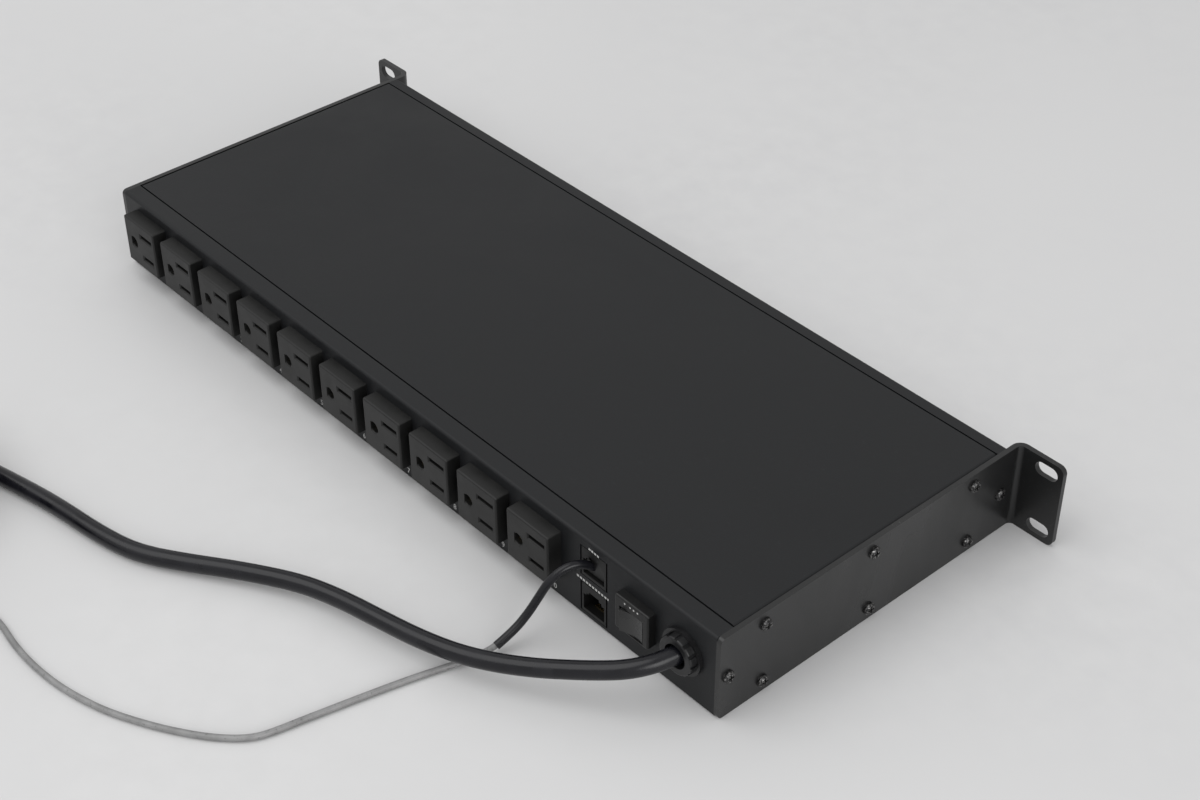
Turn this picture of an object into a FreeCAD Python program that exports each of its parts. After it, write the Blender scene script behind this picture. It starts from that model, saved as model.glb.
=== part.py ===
import FreeCAD, Part
import math
import os
import re

import Sketcher

# Rack power strip, one rack unit high, in millimetres.
# X runs along the width, -Y points out of the outlet side, +Y out of the rack ears' side, +Z is up.
# The origin is on the underside, at the middle of the case's width and depth.

doc = FreeCAD.newDocument("rack_power_strip")
X, Y, Z = FreeCAD.Vector(1, 0, 0), FreeCAD.Vector(0, 1, 0), FreeCAD.Vector(0, 0, 1)

# Driving dimensions: name, value, what it is.
SIZES = [
    ("case_width", 435.6, "over the two end plates"),
    ("case_depth", 174.0, "outlet face to front panel face"),
    ("case_height", 43.7, "one rack unit"),
    ("plate_gauge", 2.5, "steel of the end plates and ears"),
    ("sheet_gauge", 1.2, "steel of the panels and covers"),
    ("sheet_bend", 1.6, "outer radius of a bent panel edge"),
    ("ear_width", 23.5, "ear beyond the case's side"),
    ("ear_reach", 8.3, "ears' face ahead of the front panel"),
    ("ear_bend", 5.0, "outer radius of the ear's bend"),
    ("ear_corner", 3.5, "corner radius of an ear"),
    ("plate_corner", 2.5, "corner radius of an end plate"),
    ("ear_slot_side", 14.75, "ear slots from the case's side"),
    ("ear_slot_rise", 31.75, "between the two slots of an ear"),
    ("ear_slot_length", 12.0, "end to end"),
    ("ear_slot_width", 6.8, "across"),
    ("outlet_flange", 9.0, "outlet panel's top and bottom flanges"),
    ("front_flange", 6.5, "front panel's top and bottom flanges"),
    ("seam_gap", 0.8, "open seam between a flange and a cover"),
    ("tongue_reach", 5.0, "cover's tongue under a flange"),
    ("cover_lip", 11.0, "cover's side lip"),
    ("end_tab_reach", 9.0, "panel's end tab behind the panel"),
    ("end_tab_inset", 13.0, "end tab below and above the case's skins"),
    ("row_screw_start", 24.5, "first cover screw from the outlet face"),
    ("row_screw_pitch", 62.7, "between the cover screws"),
    ("row_screw_inset", 6.2, "cover screws from top and bottom"),
    ("end_screw_inset", 4.6, "panel screws from the panel's face"),
    ("thread_radius", 1.5, "radius of every case and board screw"),
    ("screw_play", 0.1, "gap round a screw's shank"),
    ("screw_head_radius", 2.9, "pan head"),
    ("screw_crown_radius", 2.1, "flat on top of the pan head"),
    ("screw_head_rise", 1.9, "pan head"),
    ("screw_shank", 6.0, "under the head"),
    ("recess_width", 0.7, "cross recess"),
    ("recess_length", 3.2, "cross recess"),
    ("recess_depth", 1.2, "cross recess"),
    ("outlet_pitch", 33.6, "between outlets"),
    ("first_outlet_inset", 25.2, "middle of the first outlet from the case's left side"),
    ("outlet_level", 24.7, "middle of the outlets above the underside"),
    ("outlet_width", 26.7, "outlet's face"),
    ("outlet_tall", 26.2, "outlet's face"),
    ("outlet_proud", 7.5, "outlet's face ahead of the panel"),
    ("outlet_edge", 0.9, "rounding of the outlet's face"),
    ("outlet_neck_width", 24.6, "outlet's body through the panel"),
    ("outlet_neck_tall", 23.6, "outlet's body through the panel"),
    ("outlet_neck_reach", 17.0, "outlet's body behind the panel's face"),
    ("outlet_wall", 3.0, "outlet's front wall"),
    ("snap_reach", 0.9, "outlet's snap wedge beside its neck"),
    ("snap_length", 6.0, "outlet's snap wedge along the depth"),
    ("snap_tall", 8.0, "outlet's snap wedge"),
    ("fit_gap", 0.2, "between a snapped or seated piece and its hole"),
    ("ground_side", 6.2, "ground hole from the outlet's middle"),
    ("ground_hole_radius", 2.8, "ground hole"),
    ("ground_flat_side", 2.1, "flat of the ground hole from its middle"),
    ("blade_side", 5.7, "blade slots from the outlet's middle"),
    ("blade_rise", 6.35, "blade slots above and below the outlet's middle"),
    ("neutral_slot_length", 10.2, "upper slot"),
    ("line_slot_length", 8.8, "lower slot"),
    ("slot_width", 2.2, "blade slots"),
    ("slot_lead", 0.6, "bevel round the blade slots and the ground hole"),
    ("clip_wall", 0.6, "brass of a contact"),
    ("clip_tall", 4.4, "contact across its leaves"),
    ("clip_depth", 10.0, "contact's leaves"),
    ("tail_reach", 3.5, "contact's tail behind the outlet"),
    ("tail_width", 3.0, "contact's tail"),
    ("bus_gauge", 1.0, "bus bars"),
    ("bus_tall", 4.8, "bus bars"),
    ("bus_overhang", 8.0, "bus bars past the outer outlets' middles"),
    ("jack_inset", 74.2, "middle of both jacks from the case's right side"),
    ("upper_jack_level", 30.9, "middle of the upper jack"),
    ("lower_jack_level", 10.9, "middle of the lower jack"),
    ("jack_width", 15.0, "jack housing"),
    ("jack_tall", 15.4, "jack housing"),
    ("jack_reach", 18.0, "jack housing behind the panel's face"),
    ("jack_slit", 0.85, "open slit at each side of a jack"),
    ("port_width", 12.8, "opening of a jack"),
    ("port_tall", 8.0, "opening of a jack"),
    ("port_floor", 1.6, "jack's wall under its opening"),
    ("port_depth", 13.0, "opening of a jack"),
    ("key_width", 9.4, "shallow key way over the opening"),
    ("key_tall", 1.2, "shallow key way over the opening"),
    ("latch_width", 6.2, "latch way over the opening"),
    ("latch_tall", 2.4, "latch way over the opening"),
    ("pin_gauge", 0.45, "jack's spring contacts"),
    ("pin_pitch", 1.02, "jack's spring contacts"),
    ("pin_reach", 9.0, "jack's spring contacts"),
    ("board_gauge", 1.6, "circuit boards"),
    ("jack_board_side", 17.2, "jack board, half its width"),
    ("jack_stud_side", 13.2, "jack board's studs from the jacks' middle"),
    ("stud_radius", 2.3, "hexagonal studs, across corners"),
    ("stud_bore", 8.0, "threaded depth of the jack board's studs"),
    ("switch_inset", 46.8, "middle of the switch frame from the case's right side"),
    ("switch_level", 23.3, "middle of the switch frame"),
    ("switch_width", 20.0, "switch frame"),
    ("switch_tall", 18.2, "switch frame"),
    ("switch_proud", 4.3, "switch frame ahead of the panel"),
    ("switch_neck_width", 18.0, "switch body through the panel"),
    ("switch_neck_tall", 16.2, "switch body through the panel"),
    ("switch_neck_reach", 17.0, "switch body behind the panel's face"),
    ("rocker_side", 0.0, "rocker's pivot from the frame's middle"),
    ("rocker_drop", 2.0, "rocker's middle below the frame's middle"),
    ("rocker_width", 12.0, "rocker along the width"),
    ("rocker_tall", 11.6, "rocker along its pivot"),
    ("rocker_rise", 3.3, "rocker's ends ahead of its pivot's line"),
    ("rocker_dish", 1.0, "hollow in the middle of the rocker's face"),
    ("rocker_keel", 4.6, "rocker behind its pivot"),
    ("rocker_gap", 0.35, "between rocker and frame along the pivot"),
    ("rocker_sweep_gap", 1.0, "between rocker and frame across the pivot"),
    ("rocker_tilt", 9.0, "rocker's lean at either stop, in degrees"),
    ("pivot_depth", 2.6, "rocker's pin behind the frame's face"),
    ("pivot_overhang", 1.8, "rocker's pin past the rocker at each end"),
    ("pivot_radius", 1.1, "rocker's pin"),
    ("pivot_play", 0.06, "between the pin and its bores"),
    ("spade_width", 4.8, "switch terminals"),
    ("spade_gauge", 0.8, "switch terminals"),
    ("spade_reach", 8.0, "switch terminals behind the switch"),
    ("spade_side", 4.6, "switch terminals from the switch's middle"),
    ("gland_inset", 20.2, "middle of the cord's gland from the case's right side"),
    ("gland_level", 24.0, "middle of the cord's gland"),
    ("gland_flange_radius", 10.9, "gland's flange"),
    ("gland_flange_gauge", 1.8, "gland's flange"),
    ("gland_collar_radius", 9.5, "gland's collar at the panel"),
    ("gland_rim_radius", 9.1, "gland's collar at its front"),
    ("gland_collar_reach", 5.2, "gland's collar ahead of the panel"),
    ("gland_mouth_radius", 5.8, "gland's flared mouth"),
    ("gland_throat_radius", 4.6, "gland's bore where the cord is seated"),
    ("gland_core_radius", 3.9, "gland's bore for the cord's three wires"),
    ("gland_stem_radius", 8.0, "gland's threaded stem"),
    ("gland_stem_reach", 11.0, "gland's stem behind the panel's face"),
    ("gland_rib_width", 1.6, "grooves along the collar"),
    ("gland_rib_depth", 0.7, "grooves along the collar"),
    ("gland_nut_gauge", 4.5, "gland's nut"),
    ("gland_nut_radius", 11.5, "gland's nut, across corners"),
    ("cord_seat", 0.6, "cord's end ahead of the panel, in the gland"),
    ("cord_radius", 4.1, "power cord"),
    ("cord_coil_radius", 49.0, "middle of the stored cord's turns"),
    ("cord_coil_columns", 2.0, "turns side by side"),
    ("cord_coil_layers", 4.0, "turns on each other"),
    ("sleeve_radius", 1.9, "sleeve on the control cable"),
    ("cable_radius", 1.4, "control cable"),
    ("cable_coil_radius", 16.5, "middle of the stored cable's turns"),
    ("cable_coil_columns", 3.0, "turns side by side"),
    ("cable_coil_layers", 4.0, "turns on each other"),
    ("plug_width", 11.6, "modular plugs"),
    ("plug_tall", 6.6, "modular plugs"),
    ("plug_length", 21.0, "loose modular plug"),
    ("plug_sink", 1.2, "seated modular plug behind the panel's face"),
    ("plug_latch_width", 5.2, "modular plugs' latch"),
    ("plug_latch_length", 8.0, "modular plugs' latch"),
    ("plug_latch_rise", 1.6, "modular plugs' latch above the plug"),
    ("power_plug_width", 26.0, "power plug's face"),
    ("power_plug_tall", 24.0, "power plug's face"),
    ("power_plug_reach", 20.0, "power plug's grip"),
    ("power_plug_edge", 5.0, "rounding of the power plug's grip"),
    ("power_plug_boot", 24.0, "power plug's tapered strain relief"),
    ("power_plug_neck", 5.2, "strain relief's radius at the cord"),
    ("power_plug_shoulder", 10.5, "strain relief's radius at the grip"),
    ("plug_blade_reach", 17.0, "power plug's blades"),
    ("plug_blade_width", 6.3, "power plug's blades"),
    ("plug_blade_gauge", 1.5, "power plug's blades"),
    ("plug_ground_radius", 2.4, "power plug's ground pin"),
    ("plug_ground_reach", 20.0, "power plug's ground pin"),
    ("board_inset", 132.8, "middle of the control board from the case's right side"),
    ("board_depth_inset", 99.0, "middle of the control board behind the outlet face"),
    ("board_width", 130.0, "control board"),
    ("board_depth", 84.0, "control board"),
    ("board_stud_inset", 5.0, "control board's studs from its edges"),
    ("board_stud_tall", 7.0, "control board's studs"),
    ("board_play", 1.0, "terminal block from the control board's edge"),
    ("relay_place", -34.0, "middle of the relays from the control board's middle"),
    ("relay_depth_place", 18.0, "relays behind the control board's middle"),
    ("relay_pitch", 33.0, "between the relays"),
    ("relay_width", 27.0, "relays"),
    ("relay_depth", 18.0, "relays"),
    ("relay_tall", 20.0, "relays"),
    ("supply_place", 34.0, "supply transformer from the control board's middle"),
    ("supply_depth_place", 14.0, "supply transformer behind the control board's middle"),
    ("supply_width", 36.0, "supply transformer"),
    ("supply_depth", 30.0, "supply transformer"),
    ("supply_tall", 25.0, "supply transformer"),
    ("disc_place", -30.0, "first surge suppressor from the control board's middle"),
    ("disc_depth_place", -8.0, "surge suppressors ahead of the control board's middle"),
    ("disc_pitch", 13.5, "between the surge suppressors"),
    ("disc_radius", 7.5, "surge suppressors"),
    ("disc_gauge", 4.5, "surge suppressors"),
    ("block_place", 34.0, "terminal block from the control board's middle"),
    ("block_width", 40.0, "terminal block"),
    ("block_depth", 12.0, "terminal block"),
    ("block_tall", 14.0, "terminal block"),
    ("block_well_radius", 2.4, "screw wells of the terminal block"),
    ("block_well_depth", 3.0, "screw wells of the terminal block"),
    ("ground_stud_inset", 20.2, "ground stud from the case's right side"),
    ("ground_stud_depth_inset", 65.0, "ground stud behind the outlet face"),
    ("ground_stud_tall", 12.0, "ground stud"),
    ("ground_stud_radius", 2.0, "ground stud"),
    ("ground_nut_radius", 4.0, "ground nut, across corners"),
    ("ground_nut_gauge", 3.2, "ground nut"),
    ("ground_washer_radius", 4.5, "ground nut's washer"),
    ("ground_washer_gauge", 1.0, "ground nut's washer"),
    ("wire_radius", 1.4, "inner wires"),
    ("lead_radius", 1.2, "lead from the jacks to the board"),
]
# Places and overall sizes, as shares of driving dimensions that are added up.
PLACES = {
    "ear_span": [(1, "case_width"), (2, "ear_width")],
    "ear_slot_gap": [(1, "case_width"), (2, "ear_slot_side")],
    "first_outlet_place": [(-0.5, "case_width"), (1, "first_outlet_inset")],
    "jack_place": [(0.5, "case_width"), (-1, "jack_inset")],
    "switch_place": [(0.5, "case_width"), (-1, "switch_inset")],
    "gland_place": [(0.5, "case_width"), (-1, "gland_inset")],
    "board_place": [(0.5, "case_width"), (-1, "board_inset")],
    "board_depth_place": [(-0.5, "case_depth"), (1, "board_depth_inset")],
    "ground_stud_place": [(0.5, "case_width"), (-1, "ground_stud_inset")],
    "ground_stud_depth_place": [(-0.5, "case_depth"), (1, "ground_stud_depth_inset")],
}
OUTLETS = 10
JACK_PINS = 8
COLLAR_GROOVES = 12
SURGE_DISCS = 3
BLOCK_TERMINALS = 4

sheet = doc.addObject("Spreadsheet::Sheet", "sizes")
for row, (alias, value, note) in enumerate(SIZES, start=1):
    sheet.set(f"A{row}", alias)
    sheet.set(f"B{row}", str(value))
    sheet.set(f"C{row}", note)
    sheet.setAlias(f"B{row}", alias)
doc.recompute()

KNOWN = {alias for alias, _, _ in SIZES}


def size(name):
    """The value of a driving dimension or of a place."""
    if name in PLACES:
        return sum(share * size(alias) for share, alias in PLACES[name])
    return float(sheet.get(name))


def formula(text):
    """Text with each driving dimension's name written as the sheet's cell, and each place as its sum."""
    def cell(found):
        word = found.group()
        if word in PLACES:
            return "(" + " + ".join(f"{share} * sizes.{alias}" for share, alias in PLACES[word]) + ")"
        return "sizes." + word if word in KNOWN else word

    return re.sub(r"[a-z_]+", cell, str(text))


def bind(thing, **formulas):
    for name, text in formulas.items():
        thing.setExpression(name, formula(text))


def place(thing, at):
    """Binds where a piece stands; its rotation stays."""
    for axis, text in zip("xyz", at):
        thing.setExpression(f"Placement.Base.{axis}", formula(text))
    return thing


# ---------------------------------------------------------------- plain solids

TURNED = {
    "+Z": FreeCAD.Rotation(),
    "-Z": FreeCAD.Rotation(X, 180),
    "+X": FreeCAD.Rotation(Y, 90),
    "-X": FreeCAD.Rotation(Y, -90),
    "+Y": FreeCAD.Rotation(X, -90),
    "-Y": FreeCAD.Rotation(X, 90),
}


def box(name, low, lengths):
    """A box from its low corner."""
    made = doc.addObject("Part::Box", name)
    bind(made, Length=lengths[0], Width=lengths[1], Height=lengths[2])
    return place(made, low)


def slab(name, middle, lengths):
    """A box from its middle."""
    low = [f"({m}) - ({s}) / 2" for m, s in zip(middle, lengths)]
    return box(name, low, lengths)


def rod(name, start, radius, length, way="+Z"):
    made = doc.addObject("Part::Cylinder", name)
    made.Placement = FreeCAD.Placement(FreeCAD.Vector(), TURNED[way])
    bind(made, Radius=radius, Height=length)
    return place(made, start)


def cone(name, start, near_radius, far_radius, length, way="+Z"):
    made = doc.addObject("Part::Cone", name)
    made.Placement = FreeCAD.Placement(FreeCAD.Vector(), TURNED[way])
    bind(made, Radius1=near_radius, Radius2=far_radius, Height=length)
    return place(made, start)


def hexagon(name, start, radius, length, way="+Z"):
    made = doc.addObject("Part::Prism", name)
    made.Placement = FreeCAD.Placement(FreeCAD.Vector(), TURNED[way])
    made.Polygon = 6
    bind(made, Circumradius=radius, Height=length)
    return place(made, start)


def fuse(name, pieces):
    made = doc.addObject("Part::MultiFuse", name)
    made.Shapes = pieces
    made.Refine = True
    return made


def cut(name, base, tools):
    made = doc.addObject("Part::Cut", name)
    made.Base = base
    made.Tool = tools[0] if len(tools) == 1 else fuse(name + "_tools", tools)
    return made


def group(name, pieces):
    """Separate solids that share one node."""
    made = doc.addObject("Part::Compound", name)
    made.Links = pieces
    return made


def rounded(name, base, alias, chosen):
    """Rounds the edges for which chosen(edge) is true."""
    doc.recompute()
    made = doc.addObject("Part::Fillet", name)
    made.Base = base
    radius = size(alias)
    made.Edges = [(i, radius, radius) for i, e in enumerate(base.Shape.Edges, start=1) if chosen(e)]
    return made


def runs_along(edge, axis):
    """True for a straight edge along an axis."""
    if not isinstance(edge.Curve, Part.Line):
        return False
    return abs(abs(edge.Curve.Direction.dot(axis)) - 1) < 1e-6


# ---------------------------------------------------------------- sketched bodies


def body(name):
    return doc.addObject("PartDesign::Body", name)


def sketch(owner, name, role, offset="0"):
    """An empty sketch on one of the body's own planes, moved along the plane's normal."""
    made = owner.newObject("Sketcher::SketchObject", name)
    plane = [p for p in owner.Origin.OriginFeatures if p.Role == role][0]
    made.AttachmentSupport = (plane, [""])
    made.MapMode = "FlatFace"
    made.setExpression("AttachmentOffset.Base.z", formula(offset))
    return made


def pin_point(drawn, shape, point, at):
    """Holds a sketch point at two formulas, measured from the origin."""
    for kind, text in zip(("DistanceX", "DistanceY"), at):
        index = drawn.addConstraint(Sketcher.Constraint(kind, -1, 1, shape, point, 1.0))
        drawn.setExpression(f"Constraints[{index}]", formula(text))


def outline(drawn, corners):
    """A closed outline through corners given as formulas; it starts as a ring of separate points."""
    first = drawn.GeometryCount
    count = len(corners)
    ring = [FreeCAD.Vector(math.cos(k), math.sin(k), 0) for k in range(count)]
    for k in range(count):
        drawn.addGeometry(Part.LineSegment(ring[k], ring[(k + 1) % count]), False)
    for k in range(count):
        drawn.addConstraint(Sketcher.Constraint("Coincident", first + k, 2, first + (k + 1) % count, 1))
    for k, corner in enumerate(corners):
        pin_point(drawn, first + k, 1, corner)


def rectangle(drawn, low, high):
    outline(drawn, [low, (high[0], low[1]), high, (low[0], high[1])])


def window(drawn, middle, width, tall):
    """A rectangle about its middle."""
    (a, b) = middle
    low = (f"({a}) - ({width}) / 2", f"({b}) - ({tall}) / 2")
    high = (f"({a}) + ({width}) / 2", f"({b}) + ({tall}) / 2")
    rectangle(drawn, low, high)


def disc(drawn, middle, radius):
    index = drawn.addGeometry(Part.Circle(FreeCAD.Vector(0, 0, 0), Z, 1.0), False)
    pin_point(drawn, index, 3, middle)
    ring = drawn.addConstraint(Sketcher.Constraint("Radius", index, 1.0))
    drawn.setExpression(f"Constraints[{ring}]", formula(radius))


def pad(owner, name, drawn, length, back=False):
    made = owner.newObject("PartDesign::Pad", name)
    made.Profile = drawn
    made.Reversed = back
    bind(made, Length=length)
    return made


def pocket(owner, name, drawn, length, back=False):
    """Cuts from the sketch's plane against its normal, or along it when back is true."""
    doc.recompute()
    before = owner.Tip.Shape.Volume
    made = owner.newObject("PartDesign::Pocket", name)
    made.Profile = drawn
    made.Reversed = back
    bind(made, Length=length)
    doc.recompute()
    if made.Shape.Volume > before - 1e-3:
        raise RuntimeError(f"{name} cuts nothing")
    return made


def soften(owner, name, radius, chosen):
    """Rounds the edges of the body's last feature for which chosen(edge) is true."""
    doc.recompute()
    base = owner.Tip
    names = [f"Edge{i}" for i, e in enumerate(base.Shape.Edges, start=1) if chosen(e)]
    made = owner.newObject("PartDesign::Fillet", name)
    made.Base = (base, names)
    bind(made, Radius=radius)
    return made


# ---------------------------------------------------------------- shared places

OUTLET_FACE = "-case_depth / 2"
FRONT_FACE = "case_depth / 2"
EAR_FACE = "case_depth / 2 + ear_reach"
INNER_SIDE = "case_width / 2 - plate_gauge"
ROW_SCREWS = [f"-case_depth / 2 + row_screw_start + {k} * row_screw_pitch" for k in range(3)]
ROW_LEVELS = ["row_screw_inset", "case_height - row_screw_inset"]
END_SCREWS = ["-case_depth / 2 + end_screw_inset", "case_depth / 2 - end_screw_inset"]
SCREW_HOLE = "thread_radius + screw_play"

nodes = []


def keep(made, name):
    """Names a finished sub-part; the name is its file's name."""
    made.Label = name
    nodes.append(made)
    return made


# ---------------------------------------------------------------- end plates with rack ears


def make_right_end_plate():
    plate = body("right_end_plate")
    plan = sketch(plate, "end_plate_plan", "XY_Plane")
    side = "case_width / 2"
    outline(plan, [
        (INNER_SIDE, OUTLET_FACE),
        (side, OUTLET_FACE),
        (side, f"{EAR_FACE} - plate_gauge"),
        ("ear_span / 2", f"{EAR_FACE} - plate_gauge"),
        ("ear_span / 2", EAR_FACE),
        (INNER_SIDE, EAR_FACE),
    ])
    pad(plate, "end_plate_pad", plan, "case_height")
    half, ear = size("case_width") / 2, size("case_depth") / 2 + size("ear_reach")

    def at_bend(edge, x, y):
        middle = edge.CenterOfMass
        return runs_along(edge, Z) and abs(middle.x - x) < 0.01 and abs(middle.y - y) < 0.01

    soften(plate, "ear_outer_bend", "ear_bend",
           lambda e: at_bend(e, half - size("plate_gauge"), ear))
    soften(plate, "ear_inner_bend", "ear_bend - plate_gauge",
           lambda e: at_bend(e, half, ear - size("plate_gauge")))
    soften(plate, "plate_corners", "plate_corner",
           lambda e: runs_along(e, X) and e.CenterOfMass.y < -size("case_depth") / 2 + 0.01)
    soften(plate, "ear_corners", "ear_corner",
           lambda e: runs_along(e, Y) and e.CenterOfMass.x > size("ear_span") / 2 - 0.01)
    slots = sketch(plate, "ear_slots", "XZ_Plane", f"-({EAR_FACE}) - 1")
    ends = sketch(plate, "ear_slot_ends", "XZ_Plane", f"-({EAR_FACE}) - 1")
    for rise in ("-1", "1"):
        level = f"case_height / 2 + {rise} * ear_slot_rise / 2"
        window(slots, ("ear_slot_gap / 2", level), "ear_slot_length - ear_slot_width", "ear_slot_width")
        for end in ("-1", "1"):
            middle = f"ear_slot_gap / 2 + {end} * (ear_slot_length - ear_slot_width) / 2"
            disc(ends, (middle, level), "ear_slot_width / 2")
    pocket(plate, "ear_slot_cut", slots, "plate_gauge + 2", back=True)
    pocket(plate, "ear_slot_end_cut", ends, "plate_gauge + 2", back=True)
    holes = sketch(plate, "plate_screw_holes", "YZ_Plane", "case_width / 2 + 1")
    for along in ROW_SCREWS:
        for level in ROW_LEVELS:
            disc(holes, (along, level), SCREW_HOLE)
    for along in END_SCREWS:
        disc(holes, (along, "case_height / 2"), SCREW_HOLE)
    pocket(plate, "plate_screw_cut", holes, "plate_gauge + 2")
    return keep(plate, "right_end_plate")


def mirrored(source, name):
    """The same piece on the other side of the case's middle."""
    made = doc.addObject("Part::Mirroring", name)
    made.Source = source
    made.Base = FreeCAD.Vector()
    made.Normal = X
    return made


right_plate = make_right_end_plate()
keep(mirrored(right_plate, "left_end_plate_mirror"), "left_end_plate")


# ---------------------------------------------------------------- panels: channels with end tabs


def make_channel(name, face, inward, flange):
    """A panel with a top and a bottom flange and a tab at each end for the end plate's screw."""
    panel = body(name)
    edge = f"{face} + {inward} * {flange}"
    skin = f"{face} + {inward} * sheet_gauge"
    top = "case_height"
    profile = sketch(panel, name + "_profile", "YZ_Plane", f"-({INNER_SIDE})")
    outline(profile, [
        (face, "0"), (edge, "0"), (edge, "sheet_gauge"), (skin, "sheet_gauge"),
        (skin, f"{top} - sheet_gauge"), (edge, f"{top} - sheet_gauge"), (edge, top), (face, top),
    ])
    pad(panel, name + "_pad", profile, "case_width - 2 * plate_gauge")
    face_y = size("case_depth") / 2 * (-1 if inward > 0 else 1)
    soften(panel, name + "_bends", "sheet_bend",
           lambda e: runs_along(e, X) and abs(e.CenterOfMass.y - face_y) < 0.01)
    for side, start in (("left", f"-({INNER_SIDE})"), ("right", f"{INNER_SIDE} - sheet_gauge")):
        tab = sketch(panel, f"{name}_{side}_tab", "YZ_Plane", start)
        low = (f"{face} + {inward} * sheet_gauge / 2", "end_tab_inset")
        high = (f"{face} + {inward} * end_tab_reach", "case_height - end_tab_inset")
        rectangle(tab, low, high)
        pad(panel, f"{name}_{side}_tab_pad", tab, "sheet_gauge")
    holes = sketch(panel, name + "_tab_holes", "YZ_Plane", f"{INNER_SIDE} + 1")
    disc(holes, (f"{face} + {inward} * end_screw_inset", "case_height / 2"), SCREW_HOLE)
    pocket(panel, name + "_tab_hole_cut", holes, "case_width")
    return panel


def make_outlet_panel():
    panel = make_channel("outlet_panel", OUTLET_FACE, 1, "outlet_flange")
    windows = sketch(panel, "panel_windows", "XZ_Plane", f"-({OUTLET_FACE}) + 1")
    for k in range(OUTLETS):
        middle = (f"first_outlet_place + {k} * outlet_pitch", "outlet_level")
        window(windows, middle, "outlet_neck_width + 2 * fit_gap", "outlet_neck_tall + 2 * fit_gap")
    for level in ("upper_jack_level", "lower_jack_level"):
        window(windows, ("jack_place", level), "jack_width + 2 * jack_slit", "jack_tall + 4 * fit_gap")
    window(windows, ("switch_place", "switch_level"),
           "switch_neck_width + 2 * fit_gap", "switch_neck_tall + 2 * fit_gap")
    disc(windows, ("gland_place", "gland_level"), "gland_stem_radius + fit_gap")
    pocket(panel, "panel_window_cut", windows, "sheet_gauge + 2")
    return keep(panel, "outlet_panel")


make_outlet_panel()
keep(make_channel("front_panel", FRONT_FACE, -1, "front_flange"), "front_panel")


# ---------------------------------------------------------------- covers


def make_cover(name, level):
    """A flat cover between the panels' flanges; its tongues lie against them and its lips on the plates.

    level(text) turns a distance from the outer skin into a height.
    """
    cover = body(name)
    near = f"{OUTLET_FACE} + outlet_flange + seam_gap"
    far = f"{FRONT_FACE} - front_flange - seam_gap"
    profile = sketch(cover, name + "_profile", "YZ_Plane", f"-({INNER_SIDE})")
    skin, under, deep = level("0"), level("sheet_gauge"), level("2 * sheet_gauge")
    outline(profile, [
        (near, skin), (far, skin), (far, under),
        (f"{far} + seam_gap + tongue_reach", under), (f"{far} + seam_gap + tongue_reach", deep),
        (f"{far} - sheet_gauge", deep), (f"{far} - sheet_gauge", under),
        (f"{near} + sheet_gauge", under), (f"{near} + sheet_gauge", deep),
        (f"{near} - seam_gap - tongue_reach", deep), (f"{near} - seam_gap - tongue_reach", under),
        (near, under),
    ])
    pad(cover, name + "_pad", profile, "case_width - 2 * plate_gauge")
    for side, start in (("left", f"-({INNER_SIDE})"), ("right", f"{INNER_SIDE} - sheet_gauge")):
        lip = sketch(cover, f"{name}_{side}_lip", "YZ_Plane", start)
        rectangle(lip, (near, level("sheet_gauge / 2")), (far, level("cover_lip")))
        pad(cover, f"{name}_{side}_lip_pad", lip, "sheet_gauge")
    doc.recompute()
    skin_z = size("case_height") if name == "top_cover" else 0.0
    soften(cover, name + "_bends", "sheet_bend",
           lambda e: runs_along(e, Y) and abs(e.CenterOfMass.z - skin_z) < 0.01)
    holes = sketch(cover, name + "_lip_holes", "YZ_Plane", f"{INNER_SIDE} + 1")
    for along in ROW_SCREWS:
        disc(holes, (along, level("row_screw_inset")), SCREW_HOLE)
    pocket(cover, name + "_lip_hole_cut", holes, "case_width")
    return keep(cover, name)


make_cover("top_cover", lambda text: f"case_height - ({text})")
make_cover("bottom_cover", lambda text: f"0 + ({text})")


# ---------------------------------------------------------------- screws


def make_screw(name, seat, way):
    """A pan-head screw with a cross recess; its head sits at seat and its shank runs along way."""
    back = {"+": "-", "-": "+"}[way[0]] + way[1]
    sign = 1 if way[0] == "+" else -1
    axis = "XYZ".index(way[1])

    def along(text):
        at = list(seat)
        at[axis] = f"({seat[axis]}) + {sign} * ({text})"
        return at

    shank = rod(name + "_shank", seat, "thread_radius", "screw_shank", way)
    brim = rod(name + "_brim", seat, "screw_head_radius", "screw_head_rise / 2", back)
    crown = cone(name + "_crown", along("-screw_head_rise / 2"),
                 "screw_head_radius", "screw_crown_radius", "screw_head_rise / 2", back)
    recess = []
    for turn in range(2):
        lengths = ["recess_width"] * 3
        lengths[axis] = "2 * recess_depth"
        lengths[[k for k in range(3) if k != axis][turn]] = "recess_length"
        recess.append(slab(f"{name}_recess_{turn}", along("-screw_head_rise"), lengths))
    return cut(name, fuse(name + "_whole", [shank, brim, crown]), recess)


def make_end_screws(name, side):
    """The eight screws of one end plate."""
    seat_x = f"{side} * case_width / 2"
    way = "-X" if side > 0 else "+X"
    places = [(along, level) for along in ROW_SCREWS for level in ROW_LEVELS]
    places += [(along, "case_height / 2") for along in END_SCREWS]
    made = [make_screw(f"{name}_{k}", (seat_x, along, level), way)
            for k, (along, level) in enumerate(places)]
    return keep(group(name + "_group", made), name)


make_end_screws("right_end_screws", 1)
make_end_screws("left_end_screws", -1)


# ---------------------------------------------------------------- outlets, contacts and bus bars


def outlet_middle(k):
    return f"(first_outlet_place + {k} * outlet_pitch)"


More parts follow.
